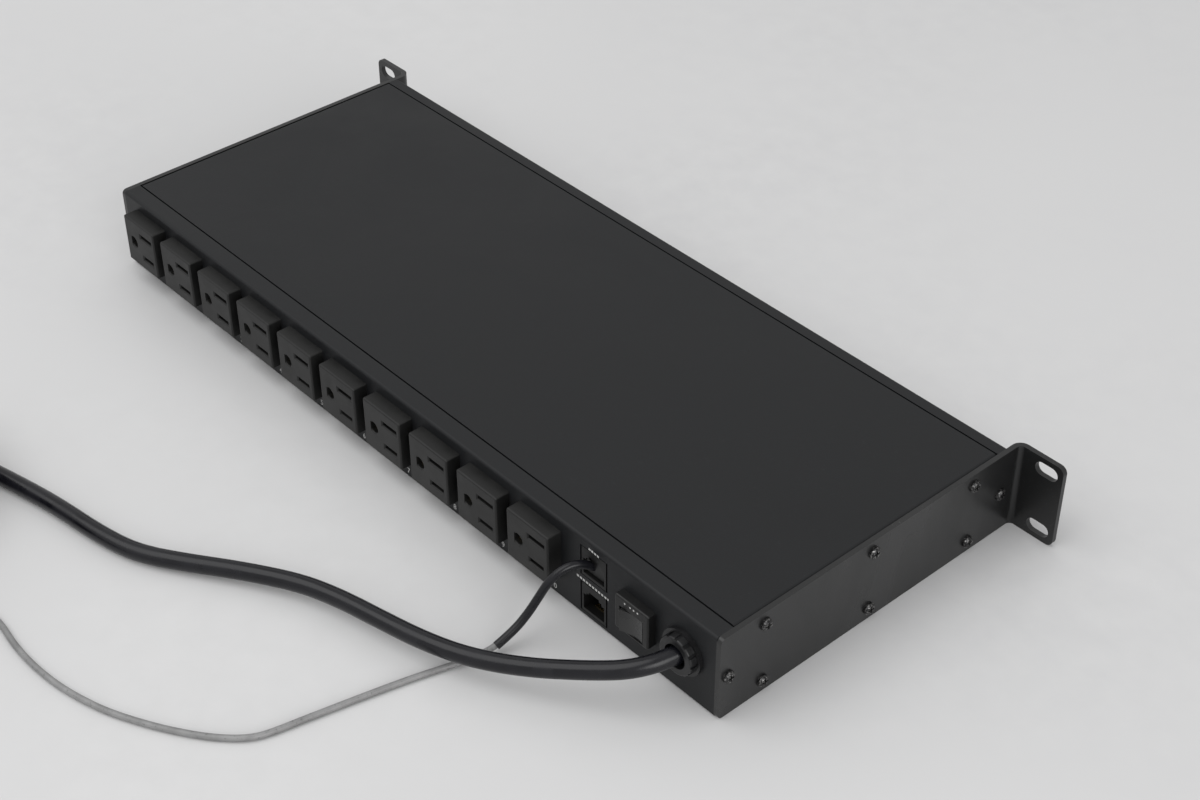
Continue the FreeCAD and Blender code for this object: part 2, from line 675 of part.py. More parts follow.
LINE_LEVEL = "(outlet_level - blade_rise)"
NEUTRAL_LEVEL = "(outlet_level + blade_rise)"
NECK_BACK = "(-case_depth / 2 + outlet_neck_reach)"
CLIP_FRONT = "(-case_depth / 2 - outlet_proud + outlet_wall)"
CLIP_BACK = "(-case_depth / 2 - outlet_proud + outlet_wall + clip_depth)"
BUS_FACE = "(-case_depth / 2 + outlet_neck_reach + tail_reach)"
CELL_GAP = "2 * fit_gap"


def cavity(name, middle_x, level, width, tall):
    """A contact's cell, open at the back of the outlet."""
    length = f"{NECK_BACK} - {CLIP_FRONT} + 1"
    low = [f"({middle_x}) - ({width}) / 2", CLIP_FRONT, f"({level}) - ({tall}) / 2"]
    return box(name, low, [width, length, tall])


def bevel(name, middle_x, level, length):
    """A wedge that flares a blade slot towards the outlet's face."""
    made = doc.addObject("Part::Wedge", name)
    bind(made, Xmin=f"-({length}) / 2 - 2 * slot_lead", Xmax=f"({length}) / 2 + 2 * slot_lead",
         X2min=f"-({length}) / 2", X2max=f"({length}) / 2",
         Zmin="-slot_width / 2 - 2 * slot_lead", Zmax="slot_width / 2 + 2 * slot_lead",
         Z2min="-slot_width / 2", Z2max="slot_width / 2", Ymin="-slot_lead", Ymax="slot_lead")
    return place(made, (middle_x, f"{OUTLET_FACE} - outlet_proud", level))


def make_outlet(k):
    name = f"outlet_{k + 1:02d}"
    middle = outlet_middle(k)
    face = slab(name + "_face", (middle, f"{OUTLET_FACE} - outlet_proud / 2", "outlet_level"),
                ("outlet_width", "outlet_proud", "outlet_tall"))
    front = -size("case_depth") / 2 - size("outlet_proud")
    face = rounded(name + "_rounded_face", face, "outlet_edge",
                   lambda e: runs_along(e, Y) or abs(e.CenterOfMass.y - front) < 0.01)
    neck = slab(name + "_neck", (middle, f"{OUTLET_FACE} + outlet_neck_reach / 2", "outlet_level"),
                ("outlet_neck_width", "outlet_neck_reach", "outlet_neck_tall"))
    snaps = []
    for side in (-1, 1):
        place_x = f"{middle} + {side} * (outlet_neck_width + snap_reach - fit_gap) / 2"
        place_y = f"{OUTLET_FACE} + sheet_gauge + fit_gap + snap_length / 2"
        snaps.append(slab(f"{name}_snap_{'left' if side < 0 else 'right'}",
                          (place_x, place_y, "outlet_level"),
                          ("snap_reach + fit_gap", "snap_length", "snap_tall")))
    line_x = f"{middle} + blade_side"
    ground_x = f"{middle} - ground_side"
    cells = [
        cavity(name + "_line_cell", line_x, LINE_LEVEL,
               f"line_slot_length + {CELL_GAP}", f"clip_tall + {CELL_GAP}"),
        cavity(name + "_neutral_cell", line_x, NEUTRAL_LEVEL,
               f"neutral_slot_length + {CELL_GAP}", f"clip_tall + {CELL_GAP}"),
        cavity(name + "_ground_cell", ground_x, "outlet_level",
               f"2 * ground_hole_radius + 2 * clip_wall + {CELL_GAP}",
               f"2 * ground_hole_radius + 2 * clip_wall + {CELL_GAP}"),
    ]
    slot_y = f"{OUTLET_FACE} - outlet_proud + outlet_wall / 2"
    for kind, level, length in (("line", LINE_LEVEL, "line_slot_length"),
                                ("neutral", NEUTRAL_LEVEL, "neutral_slot_length")):
        cells.append(slab(f"{name}_{kind}_slot", (line_x, slot_y, level),
                          (length, "outlet_wall + 1", "slot_width")))
        cells.append(bevel(f"{name}_{kind}_bevel", line_x, level, length))
    face_y = f"{OUTLET_FACE} - outlet_proud"
    shaft = rod(name + "_ground_shaft", (ground_x, f"{face_y} - 1", "outlet_level"),
                "ground_hole_radius", "outlet_wall + 2", "+Y")
    mouth = cone(name + "_ground_mouth", (ground_x, f"{face_y} - slot_lead", "outlet_level"),
                 "ground_hole_radius + 2 * slot_lead", "ground_hole_radius", "2 * slot_lead", "+Y")
    hole = fuse(name + "_ground_hole", [shaft, mouth])
    flat = slab(name + "_ground_flat",
                (f"{ground_x} - ground_flat_side - ground_hole_radius", slot_y, "outlet_level"),
                ("2 * ground_hole_radius", "outlet_wall + 4", "3 * ground_hole_radius"))
    cells.append(cut(name + "_ground_way", hole, [flat]))
    return keep(cut(name + "_cut", fuse(name + "_whole", [face, neck] + snaps), cells), name)


def make_clip(name, middle_x, level, width):
    """A brass clip: two leaves, open to the front, and a tail that runs back to its bus bar."""
    depth_middle = f"({CLIP_FRONT} + {CLIP_BACK}) / 2"
    outer = slab(name + "_outer", (middle_x, depth_middle, level), (width, "clip_depth", "clip_tall"))
    way = slab(name + "_way", (middle_x, f"{depth_middle} - clip_wall", level),
               (f"({width}) + 1", "clip_depth", "clip_tall - 2 * clip_wall"))
    tail = slab(name + "_tail", (middle_x, f"({CLIP_BACK} - clip_wall / 2 + {BUS_FACE}) / 2", level),
                ("tail_width", f"{BUS_FACE} - {CLIP_BACK} + clip_wall / 2", "clip_wall"))
    return fuse(name, [cut(name + "_leaves", outer, [way]), tail])


def make_contacts(kind, side, level, width):
    made = [make_clip(f"{kind}_clip_{k}", f"{outlet_middle(k)} + {side}", level, width)
            for k in range(OUTLETS)]
    return keep(group(f"{kind}_clips", made), f"{kind}_contacts")


def make_bus_bar(kind, level):
    low = f"{outlet_middle(0)} - bus_overhang"
    length = f"{OUTLETS - 1} * outlet_pitch + 2 * bus_overhang"
    bar = box(f"{kind}_bar", (low, BUS_FACE, f"{level} - bus_tall / 2"),
              (length, "bus_gauge", "bus_tall"))
    return keep(bar, f"{kind}_bus_bar")


for k in range(OUTLETS):
    make_outlet(k)
make_contacts("line", "blade_side", LINE_LEVEL, "line_slot_length")
make_contacts("neutral", "blade_side", NEUTRAL_LEVEL, "neutral_slot_length")
make_contacts("ground", "-ground_side", "outlet_level", "2 * ground_hole_radius")
make_bus_bar("line", LINE_LEVEL)
make_bus_bar("neutral", NEUTRAL_LEVEL)
make_bus_bar("ground", "outlet_level")


# ---------------------------------------------------------------- modular jacks and their board

JACK_BACK = "(-case_depth / 2 + jack_reach)"
STUD_LEVEL = "((upper_jack_level + lower_jack_level) / 2)"


def make_jack(name, level):
    floor = f"({level} - jack_tall / 2 + port_floor)"
    shell = slab(name + "_shell", ("jack_place", f"{OUTLET_FACE} + jack_reach / 2", level),
                 ("jack_width", "jack_reach", "jack_tall"))
    port = box(name + "_port", ("jack_place - port_width / 2", f"{OUTLET_FACE} - 1", floor),
               ("port_width", "port_depth + 1", "port_tall"))
    key = box(name + "_key_way", ("jack_place - key_width / 2", f"{OUTLET_FACE} - 1", floor),
              ("key_width", "port_depth + 1", "port_tall + key_tall"))
    latch = box(name + "_latch_way", ("jack_place - latch_width / 2", f"{OUTLET_FACE} - 1", floor),
                ("latch_width", "port_depth + 1", "port_tall + latch_tall"))
    return keep(cut(name + "_cut", shell, [port, key, latch]), name)


def make_jack_contacts():
    pins = []
    for row, level in (("upper", "upper_jack_level"), ("lower", "lower_jack_level")):
        floor = f"({level} - jack_tall / 2 + port_floor)"
        for k in range(JACK_PINS):
            along = f"jack_place + ({k} - {(JACK_PINS - 1) / 2}) * pin_pitch"
            low = (f"{along} - pin_gauge / 2", f"{OUTLET_FACE} + port_depth - pin_reach", floor)
            pins.append(box(f"{row}_pin_{k}", low, ("pin_gauge", "pin_reach", "pin_gauge")))
    return keep(group("jack_pins", pins), "jack_contacts")


def jack_stud_places():
    return [f"jack_place + {side} * jack_stud_side" for side in (-1, 1)]


def make_jack_board():
    low = ("jack_place - jack_board_side", JACK_BACK, "2 * sheet_gauge + 2 * fit_gap")
    board = box("jack_board_blank", low,
                ("2 * jack_board_side", "board_gauge", "case_height - 4 * sheet_gauge - 4 * fit_gap"))
    holes = [rod(f"jack_board_hole_{k}", (along, f"{JACK_BACK} - 1", STUD_LEVEL),
                 SCREW_HOLE, "board_gauge + 2", "+Y") for k, along in enumerate(jack_stud_places())]
    keep(cut("jack_board_cut", board, holes), "jack_board")
    studs, screws = [], []
    for k, along in enumerate(jack_stud_places()):
        post = hexagon(f"jack_stud_post_{k}", (along, f"{OUTLET_FACE} + sheet_gauge", STUD_LEVEL),
                       "stud_radius", "jack_reach - sheet_gauge", "+Y")
        bore = rod(f"jack_stud_bore_{k}", (along, f"{JACK_BACK} - stud_bore", STUD_LEVEL),
                   SCREW_HOLE, "stud_bore + 1", "+Y")
        studs.append(cut(f"jack_stud_{k}", post, [bore]))
        seat = (along, f"{JACK_BACK} + board_gauge", STUD_LEVEL)
        screws.append(make_screw(f"jack_board_screw_{k}", seat, "-Y"))
    keep(group("jack_stud_group", studs), "jack_board_studs")
    keep(group("jack_screw_group", screws), "jack_board_screws")


make_jack("upper_jack", "upper_jack_level")
make_jack("lower_jack", "lower_jack_level")
make_jack_contacts()
make_jack_board()


# ---------------------------------------------------------------- rocker switch

ROCKER_X = "(switch_place + rocker_side)"
ROCKER_LEVEL = "(switch_level - rocker_drop)"
PIVOT_Y = "(-case_depth / 2 - switch_proud + pivot_depth)"
PIN_LOW = f"({ROCKER_LEVEL} - rocker_tall / 2 - pivot_overhang)"


def make_switch_housing():
    frame = slab("switch_frame", ("switch_place", f"{OUTLET_FACE} - switch_proud / 2", "switch_level"),
                 ("switch_width", "switch_proud", "switch_tall"))
    front = -size("case_depth") / 2 - size("switch_proud")
    frame = rounded("switch_rounded_frame", frame, "outlet_edge",
                    lambda e: runs_along(e, Y) or abs(e.CenterOfMass.y - front) < 0.01)
    neck = slab("switch_neck", ("switch_place", f"{OUTLET_FACE} + switch_neck_reach / 2", "switch_level"),
                ("switch_neck_width", "switch_neck_reach", "switch_neck_tall"))
    well = box("switch_well",
               (f"{ROCKER_X} - rocker_width / 2 - rocker_sweep_gap", f"{OUTLET_FACE} - switch_proud - 1",
                f"{ROCKER_LEVEL} - rocker_tall / 2 - rocker_gap"),
               ("rocker_width + 2 * rocker_sweep_gap", "switch_proud + 1 + rocker_keel",
                "rocker_tall + 2 * rocker_gap"))
    bore = rod("switch_pivot_bore", (ROCKER_X, PIVOT_Y, f"{PIN_LOW} - pivot_play"),
               "pivot_radius + pivot_play", "rocker_tall + 2 * pivot_overhang + 2 * pivot_play")
    return keep(cut("switch_housing_cut", fuse("switch_housing_whole", [frame, neck]), [well, bore]),
                "switch_housing")


def make_rocker():
    """A dished rocker that leans to one stop; it turns about an upright pin."""
    half, rise = size("rocker_width") / 2, size("rocker_rise")
    dish, keel = size("rocker_dish"), size("rocker_keel")
    tall = size("rocker_tall")
    left, right = FreeCAD.Vector(-half, -rise, 0), FreeCAD.Vector(half, -rise, 0)
    hollow = FreeCAD.Vector(0, -rise + dish, 0)
    right_shoulder, left_shoulder = FreeCAD.Vector(half, 0, 0), FreeCAD.Vector(-half, 0, 0)
    foot = FreeCAD.Vector(0, keel, 0)
    edges = [
        Part.Arc(left, hollow, right).toShape(),
        Part.LineSegment(right, right_shoulder).toShape(),
        Part.Arc(right_shoulder, foot, left_shoulder).toShape(),
        Part.LineSegment(left_shoulder, left).toShape(),
    ]
    solid = Part.Face(Part.Wire(edges)).extrude(FreeCAD.Vector(0, 0, tall))
    bore_radius = size("pivot_radius") + size("pivot_play")
    bore = Part.makeCylinder(bore_radius, tall + 2, FreeCAD.Vector(0, 0, -1))
    made = doc.addObject("Part::Feature", "rocker")
    made.Shape = solid.cut(bore)
    made.Placement = FreeCAD.Placement(FreeCAD.Vector(), FreeCAD.Rotation(Z, size("rocker_tilt")))
    place(made, (ROCKER_X, PIVOT_Y, f"{ROCKER_LEVEL} - rocker_tall / 2"))
    return keep(made, "switch_rocker")


def make_switch_parts():
    pin = rod("rocker_pin", (ROCKER_X, PIVOT_Y, PIN_LOW),
              "pivot_radius", "rocker_tall + 2 * pivot_overhang")
    keep(pin, "switch_pivot_pin")
    spades = []
    for side in (-1, 1):
        low = (f"switch_place + {side} * spade_side - spade_gauge / 2",
               f"{OUTLET_FACE} + switch_neck_reach", "switch_level - spade_width / 2")
        spades.append(box(f"spade_{'left' if side < 0 else 'right'}", low,
                          ("spade_gauge", "spade_reach", "spade_width")))
    keep(group("spades", spades), "switch_terminals")


make_switch_housing()
make_rocker()
make_switch_parts()


# ---------------------------------------------------------------- cord gland


def make_gland():
    """A flanged, grooved collar with a flared mouth, and its threaded stem and nut."""
    def at(ahead):
        return ("gland_place", f"{OUTLET_FACE} - ({ahead})", "gland_level")

    front = -size("case_depth") / 2 - size("gland_collar_reach")
    flange = rod("gland_flange", at("0"), "gland_flange_radius", "gland_flange_gauge", "-Y")
    collar = cone("gland_collar", at("0"), "gland_collar_radius", "gland_rim_radius",
                  "gland_collar_reach", "-Y")
    collar = rounded("gland_rounded_collar", collar, "outlet_edge",
                     lambda e: abs(e.CenterOfMass.y - front) < 0.01)
    stem = rod("gland_stem", at("0"), "gland_stem_radius", "gland_stem_reach", "+Y")
    mouth = cone("gland_mouth", at("gland_collar_reach + 0.01"), "gland_mouth_radius",
                 "gland_throat_radius", "gland_collar_reach - cord_seat", "+Y")
    core = rod("gland_core", at("cord_seat + 1"), "gland_core_radius",
               "cord_seat + gland_stem_reach + 2", "+Y")
    grooves = []
    for k in range(COLLAR_GROOVES):
        groove = doc.addObject("Part::Box", f"gland_groove_{k}")
        bind(groove, Length="gland_collar_radius", Width="gland_rib_width", Height="gland_collar_reach")
        turn = FreeCAD.Rotation(Z, 360 / COLLAR_GROOVES * k)
        out = turn.multVec(FreeCAD.Vector(size("gland_collar_radius") - size("gland_rib_depth"),
                                          -size("gland_rib_width") / 2, size("gland_flange_gauge")))
        groove.Placement = FreeCAD.Placement(out, turn)
        grooves.append(groove)
    cutter = fuse("gland_grooves", grooves)
    cutter.Placement = FreeCAD.Placement(FreeCAD.Vector(), TURNED["-Y"])
    place(cutter, at("0"))
    whole = fuse("gland_whole", [flange, collar, stem])
    keep(cut("gland_cut", whole, [mouth, core, cutter]), "cord_gland")
    nut = hexagon("gland_nut_blank", at("-sheet_gauge"), "gland_nut_radius", "gland_nut_gauge", "+Y")
    hole = rod("gland_nut_hole", at("0"), "gland_stem_radius + screw_play", "gland_nut_gauge + 4", "+Y")
    keep(cut("gland_nut_cut", nut, [hole]), "cord_gland_nut")


make_gland()


# ---------------------------------------------------------------- cords, cables and wires


def tube_path(points):
    """Straight runs through the points, joined by arcs as large as the two runs at a point allow."""
    points = [FreeCAD.Vector(*p) for p in points]
    edges, radii, here = [], [], points[0]
    for before, corner, after in zip(points, points[1:], points[2:]):
        into, out = corner - before, after - corner
        turn = into.getAngle(out)
        reach = 0.45 * min(into.Length, out.Length)
        radii.append(reach / math.tan(turn / 2))
        start = corner - into.normalize() * reach
        end = corner + out.normalize() * reach
        inward = (out - into).normalize()
        sag = radii[-1] * (1 / math.cos(turn / 2) - 1)
        edges.append(Part.LineSegment(here, start).toShape())
        edges.append(Part.Arc(start, corner + inward * sag, end).toShape())
        here = end
    edges.append(Part.LineSegment(here, points[-1]).toShape())
    return Part.Wire(edges), radii


def make_tube(name, points, radius):
    path, radii = tube_path(points)
    start = FreeCAD.Vector(*points[0])
    heading = FreeCAD.Vector(*points[1]) - start
    ring = Part.Wire([Part.makeCircle(radius, start, heading)])
    solid = path.makePipeShell([ring], True, False)
    share = solid.Volume / (math.pi * radius**2 * path.Length)
    print(f"{name}: length {path.Length:.1f}, tightest radius {min(radii):.1f}, volume share {share:.4f}")
    made = doc.addObject("Part::Feature", name)
    made.Shape = solid
    return made


def make_coil(name, middle, coil_radius, radius, columns, layers):
    """The outer shape of a round coil: a ring with rounded edges, lying on z = 0."""
    side, tall = radius * columns, 2 * radius * layers
    shape = Part.makeCylinder(coil_radius + side, tall).cut(Part.makeCylinder(coil_radius - side, tall))
    shape = shape.makeFillet(radius * 0.9, [e for e in shape.Edges if isinstance(e.Curve, Part.Circle)
                                            and e.Closed])
    made = doc.addObject("Part::Feature", name)
    made.Shape = shape
    made.Placement = FreeCAD.Placement(FreeCAD.Vector(*middle), FreeCAD.Rotation())
    return made


# The power cord's route, from the gland's middle and the panel's face: it leaves the gland,
# swings along the case, comes down to the table by the point POWER_DROP and runs to its stored coil.
POWER_ROUTE = [
    (0.0, -0.6, 24.0), (-1.7, -8.7, 23.2), (-5.2, -16.2, 22.1), (-10.4, -22.7, 20.5),
    (-17.6, -28.5, 18.6), (-27.6, -36.0, 16.5), (-39.6, -44.6, 14.4), (-54.0, -53.4, 12.5),
    (-69.5, -60.7, 11.1), (-88.0, -66.4, 10.0), (-108.5, -70.7, 9.0), (-129.5, -74.9, 8.0),
    (-149.5, -81.1, 7.0), (-173.5, -94.8, 5.9), (-195.5, -109.8, 4.9), (-214.8, -121.4, 4.1),
    (-236.0, -127.1, 4.1), (-268.0, -131.7, 4.1), (-300.0, -139.3, 4.1), (-322.0, -145.6, 4.1),
    (-345.0, -150.4, 4.1),
]
POWER_DROP = 15
POWER_COIL = (-332.2, -201.9, 0.0)
POWER_TAIL = [
    (-379.6, -237.6, 25.9), (-371.8, -249.1, 21.6), (-358.4, -258.2, 17.2), (-343.1, -263.7, 14.0),
    (-329.9, -266.7, 12.4), (-313.0, -267.2, 12.0),
]
# The control cable's route, from the jacks' middle and the panel's face; its first part is sleeved.
SLEEVE_ROUTE = [
    (-1.8, 3.0, 28.6), (-2.7, -0.9, 31.6), (-4.2, -4.9, 33.5), (-5.8, -9.0, 33.4),
    (-7.3, -13.0, 31.6), (-9.1, -17.4, 26.9), (-10.5, -21.2, 20.4), (-11.5, -26.5, 13.6),
    (-12.5, -33.4, 7.8), (-13.8, -41.5, 3.8),
]
CABLE_ROUTE = [
    (-13.8, -41.5, 3.8), (-15.8, -50.0, 2.1), (-19.2, -60.6, 1.4), (-24.4, -78.0, 1.4),
    (-29.0, -97.2, 1.4), (-32.2, -111.6, 1.4), (-35.2, -125.0, 1.4), (-37.2, -134.8, 1.4),
    (-39.6, -142.8, 1.4), (-44.6, -149.6, 1.4), (-53.6, -158.0, 1.4), (-69.6, -168.8, 1.4),
    (-89.8, -179.1, 1.4), (-105.8, -184.1, 1.4), (-119.4, -187.0, 1.4), (-135.6, -188.4, 1.4),
    (-150.2, -188.0, 1.4), (-165.3, -185.8, 1.4), (-178.4, -187.4, 1.4), (-189.2, -195.2, 1.4),
    (-197.4, -206.8, 1.4), (-202.6, -218.9, 1.4),
]
CABLE_COIL = (-184.0, -223.9, 0.0)
CABLE_TAIL = [
    (-205.5, -223.9, 9.0), (-205.6, -229.7, 8.0), (-203.4, -235.9, 6.5), (-199.1, -241.5, 5.0),
    (-193.1, -246.2, 4.0), (-185.6, -249.5, 3.5), (-177.6, -250.6, 3.4),
]


def start_at(points, level, drop):
    """Lifts a route's first point to a level, and the next ones less and less, down to none at drop."""
    rise = level - points[0][2]
    return [(x, y, z + rise * max(0, 1 - k / drop)) for k, (x, y, z) in enumerate(points)]


def lay(made, name, anchor):
    """Puts a cord's solid in place; its own points are measured from an anchor on the outlet panel."""
    base = made.Placement.Base
    place(made, (f"{anchor} + ({base.x})", f"{OUTLET_FACE} + ({base.y})", f"{base.z}"))
    return keep(made, name)


PLUG_LEVEL = size("upper_jack_level") - size("jack_tall") / 2 + size("port_floor") \
    + 2 * size("pin_gauge") + size("plug_tall") / 2
power_route = start_at(POWER_ROUTE, size("gland_level"), POWER_DROP)
sleeve_route = start_at(SLEEVE_ROUTE, PLUG_LEVEL, len(SLEEVE_ROUTE) - 1)
lay(make_tube("power_tube", power_route, size("cord_radius")), "power_cord", "gland_place")
lay(make_tube("power_tail_tube", POWER_TAIL, size("cord_radius")), "power_cord_tail", "gland_place")
lay(make_coil("power_coil", POWER_COIL, size("cord_coil_radius"), size("cord_radius"),
              size("cord_coil_columns"), size("cord_coil_layers")), "power_cord_coil", "gland_place")
lay(make_tube("sleeve_tube", sleeve_route, size("sleeve_radius")), "control_sleeve", "jack_place")
lay(make_tube("cable_tube", CABLE_ROUTE, size("cable_radius")), "control_cable", "jack_place")
lay(make_tube("cable_tail_tube", CABLE_TAIL, size("cable_radius")), "control_cable_tail", "jack_place")
lay(make_coil("cable_coil", CABLE_COIL, size("cable_coil_radius"), size("cable_radius"),
              size("cable_coil_columns"), size("cable_coil_layers")), "control_cable_coil", "jack_place")


# ---------------------------------------------------------------- plugs


def make_power_plug():
    """A moulded three-pin plug; its cord comes in along +X and its blades point the same way."""
    (x, y, z) = POWER_TAIL[-1]

    def at(ahead, side="0", rise="0"):
        return (f"gland_place + ({x}) + {ahead}", f"{OUTLET_FACE} + ({y}) + {side}", f"{z} + {rise}")

    face = "power_plug_boot + power_plug_reach"
    boot = cone("plug_boot", at("0"), "power_plug_neck", "power_plug_shoulder", "power_plug_boot", "+X")
    grip = slab("plug_grip", at("power_plug_boot + power_plug_reach / 2"),
                ("power_plug_reach", "power_plug_width", "power_plug_tall"))
    grip = rounded("plug_rounded_grip", grip, "power_plug_edge", lambda e: runs_along(e, X))
    keep(fuse("plug_whole", [boot, grip]), "power_plug")
    blades = [slab(f"plug_blade_{name}",
                   at(f"{face} + plug_blade_reach / 2", f"{side} * blade_rise", "-blade_side"),
                   ("plug_blade_reach", "plug_blade_gauge", "plug_blade_width"))
              for name, side in (("left", -1), ("right", 1))]
    keep(group("plug_blade_group", blades), "power_plug_blades")
    keep(rod("plug_ground_rod", at(face, rise="ground_side"), "plug_ground_radius",
             "plug_ground_reach", "+X"), "power_plug_ground_pin")


def make_control_plug():
    """The modular plug in the upper jack; the sleeved cable leaves its back."""
    floor = "(upper_jack_level - jack_tall / 2 + port_floor + 2 * pin_gauge)"
    back = f"{OUTLET_FACE} + plug_sink"
    nose = box("control_plug_nose", ("jack_place - plug_width / 2", back, floor),
               ("plug_width", "port_depth - plug_sink - 2 * fit_gap", "plug_tall"))
    latch = box("control_plug_latch", ("jack_place - plug_latch_width / 2", back, floor),
                ("plug_latch_width", "plug_latch_length", "plug_tall + plug_latch_rise"))
    keep(fuse("control_plug_whole", [nose, latch]), "control_plug")


def make_cable_end_plug():
    """The modular plug on the control cable's other end, lying beside its coil."""
    (x, y, z) = CABLE_TAIL[-1]
    start, middle = f"jack_place + ({x})", f"{OUTLET_FACE} + ({y})"
    block = box("end_plug_block", (start, f"{middle} - plug_width / 2", f"{z} - plug_tall / 2"),
                ("plug_length", "plug_width", "plug_tall"))
    latch = box("end_plug_latch",
                (f"{start} + plug_length - plug_latch_length", f"{middle} - plug_latch_width / 2",
                 f"{z} + plug_tall / 2"),
                ("plug_latch_length", "plug_latch_width", "plug_latch_rise"))
    keep(fuse("end_plug_whole", [block, latch]), "control_cable_end_plug")


make_power_plug()
make_control_plug()
make_cable_end_plug()


# ---------------------------------------------------------------- control board and inner wiring

BOARD_FLOOR = "(sheet_gauge + board_stud_tall)"
BOARD_TOP = "(sheet_gauge + board_stud_tall + board_gauge)"


def board_corners():
    places = []
    for side in (-1, 1):
        for end in (-1, 1):
            places.append((f"board_place + {side} * (board_width / 2 - board_stud_inset)",
                           f"board_depth_place + {end} * (board_depth / 2 - board_stud_inset)"))
    return places


def make_control_board():
    board = box("control_board_blank",
                ("board_place - board_width / 2", "board_depth_place - board_depth / 2", BOARD_FLOOR),
                ("board_width", "board_depth", "board_gauge"))
    holes, studs, screws = [], [], []
    for k, (x, y) in enumerate(board_corners()):
        holes.append(rod(f"board_hole_{k}", (x, y, f"{BOARD_FLOOR} - 1"), SCREW_HOLE, "board_gauge + 2"))
        post = hexagon(f"board_post_{k}", (x, y, "sheet_gauge"), "stud_radius", "board_stud_tall")
        bore = rod(f"board_bore_{k}", (x, y, "2 * sheet_gauge"), SCREW_HOLE, "board_stud_tall")
        studs.append(cut(f"board_stud_{k}", post, [bore]))
        screws.append(make_screw(f"board_screw_{k}", (x, y, BOARD_TOP), "-Z"))
    keep(cut("control_board_cut", board, holes), "control_board")
    keep(group("board_stud_group", studs), "board_studs")
    keep(group("board_screw_group", screws), "board_screws")


def on_board(name, side, depth, lengths):
    """A block standing on the control board, placed from the board's middle."""
    low = (f"board_place + ({side}) - ({lengths[0]}) / 2",
           f"board_depth_place + ({depth}) - ({lengths[1]}) / 2", BOARD_TOP)
    return box(name, low, lengths)


def make_board_parts():
    relays = [on_board(f"relay_{name}", f"relay_place + {side} * relay_pitch / 2", "relay_depth_place",
                       ("relay_width", "relay_depth", "relay_tall"))
              for name, side in (("left", -1), ("right", 1))]
    keep(group("relay_group", relays), "power_relays")
    core = on_board("supply_core", "supply_place", "supply_depth_place",
                    ("supply_width", "supply_depth", "supply_tall"))
    keep(rounded("supply_rounded", core, "outlet_edge", lambda e: runs_along(e, Z)), "supply_transformer")
    discs = []
    for k in range(SURGE_DISCS):
        middle = (f"board_place + disc_place + {k} * disc_pitch", "board_depth_place + disc_depth_place",
                  f"{BOARD_TOP} + disc_radius")
        discs.append(rod(f"surge_disc_{k}", middle, "disc_radius", "disc_gauge", "+X"))
    keep(group("surge_discs", discs), "surge_suppressors")
    depth = "-board_depth / 2 + block_depth / 2 + board_play"
    block = on_board("terminal_blank", "block_place", depth, ("block_width", "block_depth", "block_tall"))
    wells = [rod(f"terminal_well_{k}",
                 (f"board_place + block_place + ({k} - {(BLOCK_TERMINALS - 1) / 2}) * block_width / 4",
                  f"board_depth_place + {depth}", f"{BOARD_TOP} + block_tall - block_well_depth"),
                 "block_well_radius", "block_well_depth + 1") for k in range(BLOCK_TERMINALS)]
    keep(cut("terminal_cut", block, wells), "terminal_block")


def make_ground_stud():
    def at(level):
        return ("ground_stud_place", "ground_stud_depth_place", level)

    keep(rod("ground_post", at("sheet_gauge"), "ground_stud_radius", "ground_stud_tall"), "ground_stud")
    nut = hexagon("ground_nut_blank", at("sheet_gauge + ground_washer_gauge"), "ground_nut_radius",
                  "ground_nut_gauge")
    washer = rod("ground_washer", at("sheet_gauge"), "ground_washer_radius", "ground_washer_gauge")
    hole = rod("ground_nut_hole", at("0"), "ground_stud_radius + screw_play", "ground_stud_tall")
    keep(cut("ground_nut_cut", fuse("ground_nut_whole", [nut, washer]), [hole]), "ground_nut")


make_control_board()
make_board_parts()
make_ground_stud()


# Points of the inner wires: what each is measured from, then its distances along X, Y and Z.
INLET_WIRES = {
    "line_wire": [
        ("cord_end", -1.4, 0, 1.4), ("gland", -1.5, 14, 1.2), ("gland", -2.0, 28, 0.6),
        ("gland", -7.0, 37, 0.2), ("live_spade", 5.4, 12, 0.5), ("live_spade", 0.4, 7, 0.2),
        ("live_spade", 0, 0, 0)],
    "neutral_wire": [
        ("cord_end", 2.0, 0, 0.6), ("gland", 2.0, 12, 0.3), ("gland", 0.4, 24, -3.0),
        ("gland", -5.6, 34, -7.0), ("gland", -17.6, 41, -8.8), ("gland", -36, 43, -9.2),
        ("terminal_3", 12, -13.4, -1.0), ("terminal_3", 3, -9, -0.4), ("terminal_3", 0, 0, 0)],
    "ground_wire": [
        ("cord_end", 0, 0, -2.2), ("gland", 0, 14, -2.4), ("gland", 0.8, 23, -8.0),
        ("gland", 1.4, 34, -14.6), ("gland", 1.0, 46, -17.6), ("ground_nut", 0.3, -5.1, 0.6),
        ("ground_nut", 0, 0, 0)],
}
